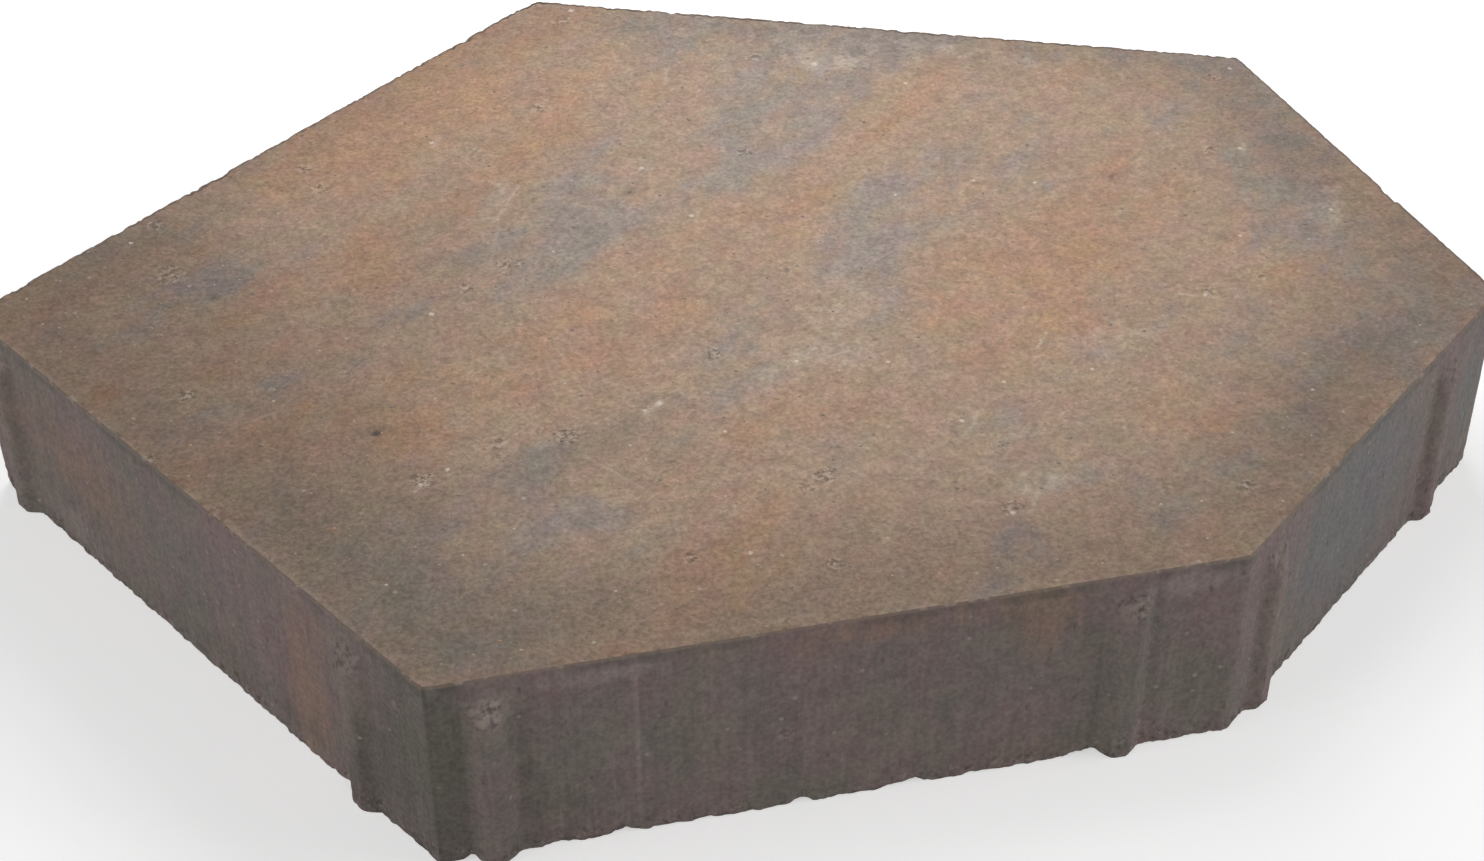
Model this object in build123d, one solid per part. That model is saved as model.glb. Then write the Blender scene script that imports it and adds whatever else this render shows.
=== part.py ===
"""Concrete paving slab: one six-sided block that covers a floor with copies of itself alone.

Every second corner of its laying outline is exactly 120 degrees and joins two sides of equal
length, so a copy turned by 120 degrees about that corner meets it edge to edge. The block itself
is half a joint smaller all round. Two spacer ribs on each side stand out by the whole joint and
touch the neighbour's plain wall beside the neighbour's own ribs.

Units are millimetres, +Z is up. +X runs along the front side, +Y to the back, and the origin is
on the underside at the middle of the bounding box.
"""
from build123d import *
from math import acos, degrees, radians, sin, tan
import os

# Driving dimensions of the laying outline, which runs down the middle of the joints
THICKNESS = 80.0
FRONT_PAIR_SIDE = 276.0
RIGHT_PAIR_SIDE = 190.0
BACK_PAIR_SIDE = 308.0
MEETING_ANGLE = 120.0
JOINT = 4.0

# Two equal sides at a meeting corner: the length across their far ends, as a share of one side,
# and how far the corner stands out from that line, as a share of the line
MEETING_SPAN = 2 * sin(radians(MEETING_ANGLE / 2))
MEETING_RISE = 1 / (2 * tan(radians(MEETING_ANGLE / 2)))

# Edges of the block
CORNER_RADIUS = 3.0
ARRIS_RADIUS = 0.8

# Spacer ribs: the section on the wall, the head that runs out below the top, and the places
RIB_FOOT_WIDTH = 15.0
RIB_CREST_WIDTH = 6.0
RIB_CREST_RADIUS = 2.0
RIB_FOOT_RADIUS = 2.5
RIB_ROOT_DEPTH = 3.0
RIB_HEAD_BELOW_TOP = 7.0
RIB_FULL_BELOW_TOP = 18.0
RIB_AFTER_CORNER = 20.5
RIB_BEFORE_CORNER = 41.0


def meeting_corner(start: Vector, end: Vector) -> Vector:
    """Return the corner whose two equal sides leave start and end at the meeting angle.

    It lies to the right of the line from start to end, which is outside the block when the
    outline is walked against the clock.
    """
    middle = (start + end) * 0.5
    outwards = (end - start).rotate(Axis.Z, -90)
    return middle + outwards * MEETING_RISE


def laying_corners() -> list[Vector]:
    """Return the six corners of the laying outline, against the clock from the front left."""
    front_left = Vector(0, 0)
    front_right = Vector(FRONT_PAIR_SIDE, 0)
    left = front_right.rotate(Axis.Z, MEETING_ANGLE)

    front_span = FRONT_PAIR_SIDE * MEETING_SPAN
    right_span = RIGHT_PAIR_SIDE * MEETING_SPAN
    back_span = BACK_PAIR_SIDE * MEETING_SPAN
    cosine = (front_span**2 + right_span**2 - back_span**2) / (2 * front_span * right_span)
    to_back_right = (left - front_right).normalized().rotate(Axis.Z, -degrees(acos(cosine)))
    back_right = front_right + to_back_right * right_span

    right = meeting_corner(front_right, back_right)
    back_left = meeting_corner(back_right, left)
    return [front_left, front_right, right, back_right, back_left, left]


def block(corners: list[Vector]) -> Part:
    """Return the plain block: the laying outline less half a joint, with eased edges."""
    with BuildPart() as body:
        with BuildSketch():
            with BuildLine():
                Polyline(*corners, close=True)
            make_face()
            offset(amount=-JOINT / 2, kind=Kind.INTERSECTION, mode=Mode.REPLACE)
            fillet(vertices(), radius=CORNER_RADIUS)
        extrude(amount=THICKNESS)
        fillet(faces().sort_by(Axis.Z)[-1].edges(), radius=ARRIS_RADIUS)
    return body.part


def spacer_rib() -> Part:
    """Return one rib on a wall that lies in the XZ plane, standing out along +Y.

    Its section is a trapezoid with a rounded crest and hollow feet. Seen from the side it has
    full reach up to its shoulder and slopes back into the wall at its head.
    """
    full_height = THICKNESS - RIB_FULL_BELOW_TOP
    head_height = THICKNESS - RIB_HEAD_BELOW_TOP
    half_root = RIB_FOOT_WIDTH / 2 + RIB_FOOT_RADIUS
    with BuildPart() as rib:
        with BuildSketch():
            with BuildLine():
                Polyline(
                    (-half_root, -RIB_ROOT_DEPTH),
                    (half_root, -RIB_ROOT_DEPTH),
                    (half_root, 0),
                    (RIB_FOOT_WIDTH / 2, 0),
                    (RIB_CREST_WIDTH / 2, JOINT),
                    (-RIB_CREST_WIDTH / 2, JOINT),
                    (-RIB_FOOT_WIDTH / 2, 0),
                    (-half_root, 0),
                    close=True,
                )
            make_face()
            crest = vertices().group_by(Axis.Y)[-1]
            feet = vertices().group_by(Axis.Y)[1].sort_by(Axis.X)[1:-1]
            fillet(crest, radius=RIB_CREST_RADIUS)
            fillet(feet, radius=RIB_FOOT_RADIUS)
        extrude(amount=head_height)
        with BuildSketch(Plane.YZ):
            with BuildLine():
                Polyline(
                    (-RIB_ROOT_DEPTH, 0),
                    (JOINT, 0),
                    (JOINT, full_height),
                    (0, head_height),
                    (-RIB_ROOT_DEPTH, head_height),
                    close=True,
                )
            make_face()
        extrude(amount=half_root, both=True, mode=Mode.INTERSECT)
    return rib.part


def rib_places(corners: list[Vector]) -> list[Plane]:
    """Return the planes of the twelve ribs, two on each wall, with Y pointing out of the wall."""
    places = []
    for start, end in zip(corners, corners[1:] + corners[:1]):
        along = (end - start).normalized()
        inwards = along.rotate(Axis.Z, 90)
        wall_start = start + inwards * (JOINT / 2)
        length = (end - start).length
        for distance in (RIB_AFTER_CORNER, length - RIB_BEFORE_CORNER):
            places.append(Plane(wall_start + along * distance, x_dir=-along, z_dir=(0, 0, 1)))
    return places


corners = laying_corners()
rib = spacer_rib()
slab = block(corners)
for place in rib_places(corners):
    slab += place * rib

box = slab.bounding_box()
slab = Pos(-box.center().X, -box.center().Y, 0) * slab

os.makedirs("parts", exist_ok=True)
export_step(slab, "parts/paving_slab.step")
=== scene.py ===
"""Concrete paving slab: one six-sided cast block, mottled brown and grey, on a pale floor.

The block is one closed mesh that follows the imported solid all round. Its walking face, its drawn
sides and its underside each have a relief and a finish of their own. Everything is in metres, in
the frame of the solid: +Z up, +X along the front side, the origin under the middle of the block.
"""

import logging
import math
from collections.abc import Sequence
from dataclasses import dataclass, field
from enum import Enum

import bpy
import numpy as np
from mathutils import Euler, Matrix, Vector, geometry
from mathutils.bvhtree import BVHTree

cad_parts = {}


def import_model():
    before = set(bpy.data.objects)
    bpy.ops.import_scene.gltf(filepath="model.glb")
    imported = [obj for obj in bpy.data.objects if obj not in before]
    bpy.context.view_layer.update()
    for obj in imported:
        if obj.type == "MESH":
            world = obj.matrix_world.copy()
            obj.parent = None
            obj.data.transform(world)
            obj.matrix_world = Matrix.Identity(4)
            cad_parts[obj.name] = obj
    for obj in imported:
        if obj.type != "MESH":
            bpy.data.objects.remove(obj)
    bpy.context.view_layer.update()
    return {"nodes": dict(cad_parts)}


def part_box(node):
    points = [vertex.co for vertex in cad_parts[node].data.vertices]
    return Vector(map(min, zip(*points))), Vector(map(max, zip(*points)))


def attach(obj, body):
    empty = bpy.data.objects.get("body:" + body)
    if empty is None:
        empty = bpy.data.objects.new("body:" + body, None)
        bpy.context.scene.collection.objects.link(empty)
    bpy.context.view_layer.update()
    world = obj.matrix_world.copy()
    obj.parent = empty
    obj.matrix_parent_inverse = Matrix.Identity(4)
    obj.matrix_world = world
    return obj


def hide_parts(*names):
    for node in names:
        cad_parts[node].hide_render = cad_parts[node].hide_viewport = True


LOG = logging.getLogger("paving_slab")

NODE = "paving_slab"
BODY = "root"

# A patch of pigment fades out at this many times its own half size
FADE_OUT = 1.7

Colour = tuple[float, float, float]
Place = tuple[float, float, float]


def linear(red: int, green: int, blue: int) -> Colour:
    """Turn a screen colour, 0 to 255 a channel, into the linear colour that shaders take.

    Args:
        red: Red channel.
        green: Green channel.
        blue: Blue channel.

    Returns:
        The three linear channels, 0 to 1.
    """
    channels = []
    for value in (red, green, blue):
        share = value / 255
        channels.append(share / 12.92 if share <= 0.04045 else ((share + 0.055) / 1.055) ** 2.4)
    return (channels[0], channels[1], channels[2])


def smooth_step(low: float, high: float, values: np.ndarray) -> np.ndarray:
    """Rise smoothly from 0 at low to 1 at high, for an array of values."""
    share = np.clip((values - low) / (high - low), 0, 1)
    return share * share * (3 - 2 * share)


class Region(Enum):
    """A part of the block's surface, numbered in the order of the block's materials."""

    FACE = 0
    WALL = 1
    UNDERSIDE = 2


class Wall(Enum):
    """The six sides, against the clock from the front left corner."""

    FRONT = 0
    RIGHT_FRONT = 1
    RIGHT_BACK = 2
    BACK = 3
    LEFT_BACK = 4
    LEFT_FRONT = 5


class Pigment(Enum):
    """A tint, or a painted shade, that lies in patches on the block, named as the mesh attribute that holds
    it.
    """

    RUST = "rust"
    SLATE = "slate"
    OLIVE = "olive"
    # Painted shade, not a pigment: it darkens without changing the hue, for the light falling off towards the
    # left side and the edges
    PAINTED_SHADE = "painted_shade"
    PALE = "pale"


@dataclass(frozen=True)
class Streak:
    """A soft patch of one pigment, or of painted shade, on the walking face.

    Attributes:
        pigment: Which tint it is, or painted shade.
        x: Middle of the patch along +X.
        y: Middle of the patch along +Y.
        length: Its longer size.
        width: Its shorter size.
        turn: Direction of the length, in degrees from +X.
        strength: Share of the pigment in its middle.
    """

    pigment: Pigment
    x: float
    y: float
    length: float
    width: float
    turn: float = 38.0
    strength: float = 1.0

    def cover(self, points: np.ndarray) -> np.ndarray:
        """Work out how much of the pigment lies at each point.

        Args:
            points: Rows of x, y and z.

        Returns:
            The share of pigment at each of them.
        """
        turn = math.radians(self.turn)
        across_x = points[:, 0] - self.x
        across_y = points[:, 1] - self.y
        along = across_x * math.cos(turn) + across_y * math.sin(turn)
        beside = across_y * math.cos(turn) - across_x * math.sin(turn)
        reach = np.hypot(along / (self.length / 2), beside / (self.width / 2))
        return self.strength * (1 - smooth_step(0.0, FADE_OUT, reach))


@dataclass(frozen=True)
class Stain:
    """A soft upright patch of one pigment on a side.

    Attributes:
        pigment: Which tint it is.
        wall: The side that it lies on.
        along: Distance of its middle from the side's first corner.
        height: Height of its middle above the underside.
        width: Its size along the side.
        tall: Its size upwards.
        strength: Share of the pigment in its middle.
    """

    pigment: Pigment
    wall: Wall
    along: float
    height: float
    width: float
    tall: float
    strength: float = 1.0

    def cover(self, walls: np.ndarray, along: np.ndarray, heights: np.ndarray) -> np.ndarray:
        """Work out how much of the pigment lies at each point of the sides.

        Args:
            walls: The number of each point's side.
            along: Its distance from that side's first corner.
            heights: Its height above the underside.

        Returns:
            The share of pigment at each of them.
        """
        beside = (along - self.along) / (self.width / 2)
        above = (heights - self.height) / (self.tall / 2)
        share = self.strength * (1 - smooth_step(0.0, FADE_OUT, np.hypot(beside, above)))
        return np.where(walls == self.wall.value, share, 0.0)


@dataclass(frozen=True)
class Pit:
    """A pit in the walking face, drawn only in colour: a dark spot of painted shade, with a soft dull ring
    round it.

    Attributes:
        x: Its middle along +X.
        y: Its middle along +Y.
        radius: Radius of the dark spot itself.
        depth: How far its painted shade darkens its middle, 0 to 1.
    """

    x: float
    y: float
    radius: float
    depth: float


@dataclass(frozen=True)
class Scratch:
    """A pale scuff on the walking face, from one point to another."""

    start: tuple[float, float]
    end: tuple[float, float]
    width: float
    strength: float


STREAKS = (
    Streak(Pigment.RUST, -0.105, 0.135, 0.130, 0.050, 43, 1.2),
    Streak(Pigment.RUST, -0.048, 0.178, 0.100, 0.050, 47, 1.2),
    Streak(Pigment.RUST, -0.080, 0.112, 0.090, 0.020, 45, 0.6),
    Streak(Pigment.RUST, -0.150, 0.108, 0.070, 0.034, 41, 0.7),
    Streak(Pigment.RUST, -0.035, 0.136, 0.070, 0.026, 50, 0.7),
    Streak(Pigment.RUST, -0.058, 0.088, 0.075, 0.024, 45, 0.9),
    Streak(Pigment.RUST, 0.000, 0.128, 0.034, 0.016, 80, 0.7),
    Streak(Pigment.RUST, 0.090, 0.080, 0.170, 0.026, 46, 1.0),
    Streak(Pigment.RUST, 0.036, 0.022, 0.050, 0.018, 70, 0.7),
    Streak(Pigment.RUST, -0.012, 0.002, 0.130, 0.046, 37, 0.8),
    Streak(Pigment.RUST, -0.095, -0.052, 0.130, 0.046, 29, 0.9),
    Streak(Pigment.RUST, -0.150, -0.072, 0.070, 0.050, 35, 0.8),
    Streak(Pigment.RUST, -0.135, -0.108, 0.050, 0.036, 35, 0.8),
    Streak(Pigment.RUST, -0.172, -0.112, 0.050, 0.040, 35, 0.6),
    Streak(Pigment.RUST, -0.030, -0.045, 0.060, 0.026, 35, 0.5),
    Streak(Pigment.RUST, -0.186, -0.030, 0.036, 0.024, 35, 0.8),
    Streak(Pigment.RUST, -0.156, -0.022, 0.030, 0.026, 60, 0.8),
    Streak(Pigment.RUST, -0.165, 0.012, 0.040, 0.030, 45, 0.7),
    Streak(Pigment.RUST, -0.130, 0.030, 0.060, 0.022, 75, 0.8),
    Streak(Pigment.RUST, -0.232, -0.036, 0.030, 0.016, -60, 0.8),
    Streak(Pigment.RUST, 0.125, -0.030, 0.120, 0.056, 47, 1.0),
    Streak(Pigment.RUST, 0.168, 0.026, 0.070, 0.034, 47, 0.8),
    Streak(Pigment.RUST, 0.080, -0.095, 0.080, 0.030, 40, 0.4),
    Streak(Pigment.RUST, 0.000, -0.102, 0.060, 0.026, 25, 0.6),
    Streak(Pigment.RUST, -0.025, -0.125, 0.070, 0.026, 30, 0.5),
    Streak(Pigment.RUST, -0.030, -0.165, 0.080, 0.044, 30, 0.6),
    Streak(Pigment.RUST, 0.140, -0.135, 0.090, 0.036, 35, 0.5),
    Streak(Pigment.RUST, 0.205, -0.060, 0.040, 0.024, 45, 0.4),
    Streak(Pigment.RUST, -0.205, 0.060, 0.050, 0.020, 43, 0.4),
    Streak(Pigment.SLATE, -0.060, 0.034, 0.105, 0.046, 51, 1.0),
    Streak(Pigment.SLATE, 0.040, 0.112, 0.110, 0.060, 53, 0.8),
    Streak(Pigment.SLATE, 0.010, 0.072, 0.070, 0.040, 45, 0.6),
    Streak(Pigment.SLATE, 0.058, 0.000, 0.110, 0.044, 75, 0.8),
    Streak(Pigment.SLATE, 0.100, 0.150, 0.160, 0.030, -24, 0.6),
    Streak(Pigment.SLATE, 0.200, 0.110, 0.100, 0.030, -24, 0.5),
    Streak(Pigment.SLATE, 0.248, 0.070, 0.050, 0.020, -78, 0.5),
    Streak(Pigment.SLATE, 0.238, -0.050, 0.170, 0.050, -78, 0.5),
    Streak(Pigment.SLATE, 0.192, 0.048, 0.080, 0.036, 47, 0.6),
    Streak(Pigment.SLATE, 0.215, -0.110, 0.080, 0.030, 41, 0.4),
    Streak(Pigment.SLATE, -0.205, 0.020, 0.050, 0.030, 45, 0.45),
    Streak(Pigment.SLATE, -0.178, 0.026, 0.030, 0.020, 45, 0.3),
    Streak(Pigment.SLATE, -0.085, -0.103, 0.110, 0.020, 25, 0.7),
    Streak(Pigment.SLATE, -0.125, -0.155, 0.110, 0.055, -61, 0.5),
    Streak(Pigment.SLATE, -0.085, -0.135, 0.060, 0.030, 35, 0.5),
    Streak(Pigment.SLATE, -0.205, -0.062, 0.050, 0.024, -60, 0.3),
    Streak(Pigment.RUST, -0.245, 0.030, 0.040, 0.024, 40, 0.7),
    Streak(Pigment.RUST, -0.205, -0.080, 0.050, 0.022, 40, 0.7),
    Streak(Pigment.RUST, -0.190, -0.005, 0.060, 0.024, 42, 0.6),
    Streak(Pigment.SLATE, 0.070, 0.034, 0.036, 0.020, 43, 0.5),
    Streak(Pigment.SLATE, 0.150, -0.155, 0.050, 0.020, 40, 0.4),
    Streak(Pigment.SLATE, 0.012, -0.075, 0.040, 0.020, 25, 0.4),
    Streak(Pigment.OLIVE, -0.150, -0.150, 0.150, 0.070, -61, 0.7),
    Streak(Pigment.OLIVE, -0.100, -0.180, 0.120, 0.040, 10, 0.5),
    Streak(Pigment.OLIVE, 0.175, -0.150, 0.110, 0.040, 41, 0.5),
    Streak(Pigment.OLIVE, -0.080, -0.105, 0.100, 0.022, 25, 0.5),
    # Painted shade: these patches darken the face without changing its hue, for the light falling off towards
    # the left side and the edges
    Streak(Pigment.PAINTED_SHADE, -0.205, -0.035, 0.200, 0.100, -61, 0.9),
    Streak(Pigment.PAINTED_SHADE, -0.222, 0.030, 0.110, 0.090, 38, 1.0),
    Streak(Pigment.PAINTED_SHADE, -0.150, -0.110, 0.160, 0.080, -61, 0.5),
    Streak(Pigment.PAINTED_SHADE, 0.010, -0.185, 0.320, 0.070, 0, 0.6),
    Streak(Pigment.PAINTED_SHADE, 0.200, -0.118, 0.190, 0.070, 41, 0.6),
    Streak(Pigment.PAINTED_SHADE, 0.238, 0.000, 0.170, 0.060, -78, 0.35),
    Streak(Pigment.PAINTED_SHADE, -0.125, -0.005, 0.190, 0.100, 60, 0.45),
    Streak(Pigment.PAINTED_SHADE, -0.060, -0.110, 0.100, 0.060, 20, 0.25),
    Streak(Pigment.PALE, 0.035, -0.050, 0.090, 0.050, 70, 0.45),
    Streak(Pigment.PALE, 0.075, 0.132, 0.040, 0.016, -20, 0.8),
    Streak(Pigment.PALE, 0.238, -0.020, 0.034, 0.018, 60, 0.6),
    Streak(Pigment.PALE, 0.075, -0.155, 0.044, 0.016, 10, 0.55),
    Streak(Pigment.PALE, 0.005, -0.073, 0.034, 0.012, 25, 0.5),
    Streak(Pigment.PALE, -0.078, 0.060, 0.034, 0.012, 60, 0.7),
    Streak(Pigment.PALE, 0.130, -0.080, 0.050, 0.034, 0, 0.4),
    Streak(Pigment.PALE, 0.100, 0.140, 0.200, 0.030, -24, 0.42),
)

STAINS = (
    Stain(Pigment.RUST, Wall.FRONT, 0.206, 0.066, 0.040, 0.034, 0.65),
    Stain(Pigment.RUST, Wall.FRONT, 0.150, 0.075, 0.150, 0.018, 0.7),
    Stain(Pigment.RUST, Wall.FRONT, 0.124, 0.062, 0.024, 0.030, 0.45),
    Stain(Pigment.RUST, Wall.FRONT, 0.200, 0.008, 0.070, 0.014, 0.5),
    Stain(Pigment.OLIVE, Wall.FRONT, 0.004, 0.040, 0.024, 0.130, 1.0),
    Stain(Pigment.OLIVE, Wall.FRONT, 0.031, 0.050, 0.012, 0.060, 0.6),
    Stain(Pigment.OLIVE, Wall.FRONT, 0.040, 0.016, 0.060, 0.040, 0.5),
    Stain(Pigment.OLIVE, Wall.FRONT, 0.160, 0.030, 0.080, 0.030, 0.3),
    Stain(Pigment.SLATE, Wall.FRONT, 0.060, 0.035, 0.070, 0.050, 0.4),
    Stain(Pigment.PALE, Wall.FRONT, 0.055, 0.0735, 0.060, 0.010, 0.9),
    Stain(Pigment.PALE, Wall.FRONT, 0.253, 0.072, 0.044, 0.014, 0.9),
    Stain(Pigment.PALE, Wall.FRONT, 0.067, 0.045, 0.0022, 0.110, 1.0),
    Stain(Pigment.PALE, Wall.FRONT, 0.0205, 0.066, 0.016, 0.013, 1.0),
    Stain(Pigment.PALE, Wall.FRONT, 0.002, 0.0775, 0.008, 0.008, 1.0),
    Stain(Pigment.PALE, Wall.FRONT, 0.235, 0.064, 0.014, 0.012, 0.6),
    Stain(Pigment.PALE, Wall.FRONT, 0.250, 0.010, 0.050, 0.020, 0.6),
    Stain(Pigment.PALE, Wall.LEFT_FRONT, 0.050, 0.012, 0.070, 0.024, 0.7),
    Stain(Pigment.RUST, Wall.LEFT_FRONT, 0.204, 0.028, 0.036, 0.080, 0.9),
    Stain(Pigment.RUST, Wall.LEFT_FRONT, 0.212, 0.066, 0.030, 0.030, 0.6),
    Stain(Pigment.RUST, Wall.LEFT_FRONT, 0.050, 0.050, 0.120, 0.070, 0.6),
    Stain(Pigment.RUST, Wall.LEFT_FRONT, 0.080, 0.040, 0.050, 0.040, 0.4),
    Stain(Pigment.OLIVE, Wall.LEFT_FRONT, 0.262, 0.040, 0.050, 0.120, 0.9),
    Stain(Pigment.OLIVE, Wall.LEFT_FRONT, 0.238, 0.020, 0.024, 0.050, 0.7),
    Stain(Pigment.OLIVE, Wall.LEFT_FRONT, 0.150, 0.012, 0.200, 0.024, 0.5),
    Stain(Pigment.SLATE, Wall.LEFT_FRONT, 0.130, 0.045, 0.080, 0.060, 0.5),
    Stain(Pigment.RUST, Wall.RIGHT_FRONT, 0.010, 0.030, 0.024, 0.090, 0.35),
    Stain(Pigment.RUST, Wall.RIGHT_FRONT, 0.143, 0.040, 0.020, 0.090, 0.3),
    # The grey stains on this side are partly painted light: they also stand in for the cooler light that
    # falls on it
    Stain(Pigment.SLATE, Wall.RIGHT_FRONT, 0.085, 0.045, 0.120, 0.110, 1.0),
    Stain(Pigment.SLATE, Wall.RIGHT_FRONT, 0.175, 0.040, 0.030, 0.080, 0.8),
    Stain(Pigment.PALE, Wall.RIGHT_FRONT, 0.029, 0.052, 0.007, 0.034, 1.0),
    Stain(Pigment.PALE, Wall.RIGHT_FRONT, 0.104, 0.062, 0.040, 0.036, 0.5),
    Stain(Pigment.PALE, Wall.RIGHT_FRONT, 0.155, 0.050, 0.006, 0.050, 0.6),
    Stain(Pigment.RUST, Wall.RIGHT_BACK, 0.060, 0.060, 0.080, 0.040, 0.6),
    Stain(Pigment.SLATE, Wall.RIGHT_BACK, 0.140, 0.040, 0.070, 0.080, 0.5),
    Stain(Pigment.RUST, Wall.BACK, 0.090, 0.050, 0.120, 0.050, 0.5),
    Stain(Pigment.SLATE, Wall.BACK, 0.210, 0.035, 0.110, 0.070, 0.6),
    Stain(Pigment.PALE, Wall.BACK, 0.140, 0.074, 0.080, 0.012, 0.6),
    Stain(Pigment.RUST, Wall.LEFT_BACK, 0.240, 0.050, 0.090, 0.060, 0.6),
    Stain(Pigment.SLATE, Wall.LEFT_BACK, 0.110, 0.040, 0.110, 0.070, 0.5),
)

# Pits drawn only in colour: each dark spot is painted shade
PITS = (
    Pit(-0.1405, -0.0780, 0.0026, 0.75),
    Pit(-0.0250, 0.0530, 0.0014, 0.45),
    Pit(-0.0430, -0.0800, 0.0016, 0.40),
    Pit(-0.1900, 0.0180, 0.0016, 0.35),
    Pit(0.1630, 0.0200, 0.0013, 0.35),
)

# Small places where the walking face is broken up: middle along +X and +Y, and radius
BROKEN_SPOTS = (
    (-0.080, 0.013, 0.0070),
    (-0.205, 0.037, 0.0070),
    (-0.208, 0.072, 0.0040),
    (-0.147, 0.124, 0.0040),
    (-0.203, -0.040, 0.0045),
    (-0.128, -0.107, 0.0055),
    (-0.076, -0.094, 0.0055),
    (-0.016, -0.060, 0.0050),
    (-0.048, -0.167, 0.0040),
    (0.006, -0.136, 0.0055),
    (0.025, 0.070, 0.0040),
    (0.063, -0.166, 0.0045),
    (0.172, -0.063, 0.0035),
    (0.194, -0.059, 0.0030),
    (0.207, 0.030, 0.0045),
    (0.230, 0.082, 0.0035),
)

# Pale stones in the walking face: middle along +X and +Y, and radius
STONES = (
    (-0.017, 0.069, 0.0013),
    (-0.061, 0.019, 0.0010),
    (-0.005, 0.031, 0.0012),
    (-0.096, 0.107, 0.0011),
    (-0.218, 0.062, 0.0010),
    (-0.022, 0.201, 0.0016),
    (0.070, 0.132, 0.0016),
    (0.103, 0.108, 0.0012),
    (0.220, 0.028, 0.0011),
    (0.132, 0.023, 0.0010),
    (0.109, 0.030, 0.0009),
    (0.076, 0.027, 0.0009),
    (0.239, 0.088, 0.0012),
    (-0.112, -0.011, 0.0013),
    (-0.041, -0.083, 0.0016),
    (-0.047, -0.086, 0.0011),
    (-0.129, -0.109, 0.0011),
    (-0.119, -0.103, 0.0010),
    (0.012, -0.070, 0.0012),
    (-0.022, -0.104, 0.0009),
    (-0.028, -0.169, 0.0011),
    (0.044, -0.078, 0.0010),
    (0.081, -0.099, 0.0010),
    (0.060, -0.117, 0.0012),
    (0.114, -0.099, 0.0009),
    (0.062, -0.169, 0.0012),
    (0.197, -0.031, 0.0009),
    (0.170, -0.065, 0.0011),
    (0.238, -0.022, 0.0010),
)

SCRATCHES = (
    Scratch((-0.080, 0.044), (-0.067, 0.067), 0.0012, 0.7),
    Scratch((-0.086, 0.016), (-0.078, 0.046), 0.0010, 0.35),
    Scratch((0.005, 0.130), (0.008, 0.142), 0.0014, 0.7),
    Scratch((0.066, 0.129), (0.073, 0.135), 0.0020, 0.7),
    Scratch((-0.096, 0.104), (-0.092, 0.110), 0.0018, 0.6),
    Scratch((-0.047, -0.088), (-0.040, -0.082), 0.0018, 0.8),
    Scratch((-0.072, -0.106), (-0.056, -0.128), 0.0008, 0.45),
    Scratch((0.099, -0.082), (0.105, -0.074), 0.0010, 0.9),
    Scratch((0.020, -0.071), (0.032, -0.068), 0.0009, 0.7),
    Scratch((0.062, -0.122), (0.066, -0.114), 0.0016, 0.7),
    Scratch((0.068, -0.170), (0.074, -0.160), 0.0016, 0.7),
    Scratch((0.160, -0.062), (0.174, -0.068), 0.0010, 0.8),
    Scratch((0.220, 0.024), (0.223, 0.031), 0.0014, 0.8),
    Scratch((-0.131, -0.112), (-0.126, -0.106), 0.0014, 0.8),
    Scratch((-0.004, 0.026), (-0.002, 0.033), 0.0016, 0.7),
    Scratch((0.128, -0.070), (0.140, -0.086), 0.0009, 0.5),
    Scratch((0.048, -0.020), (0.072, -0.006), 0.0006, 0.4),
)


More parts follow.
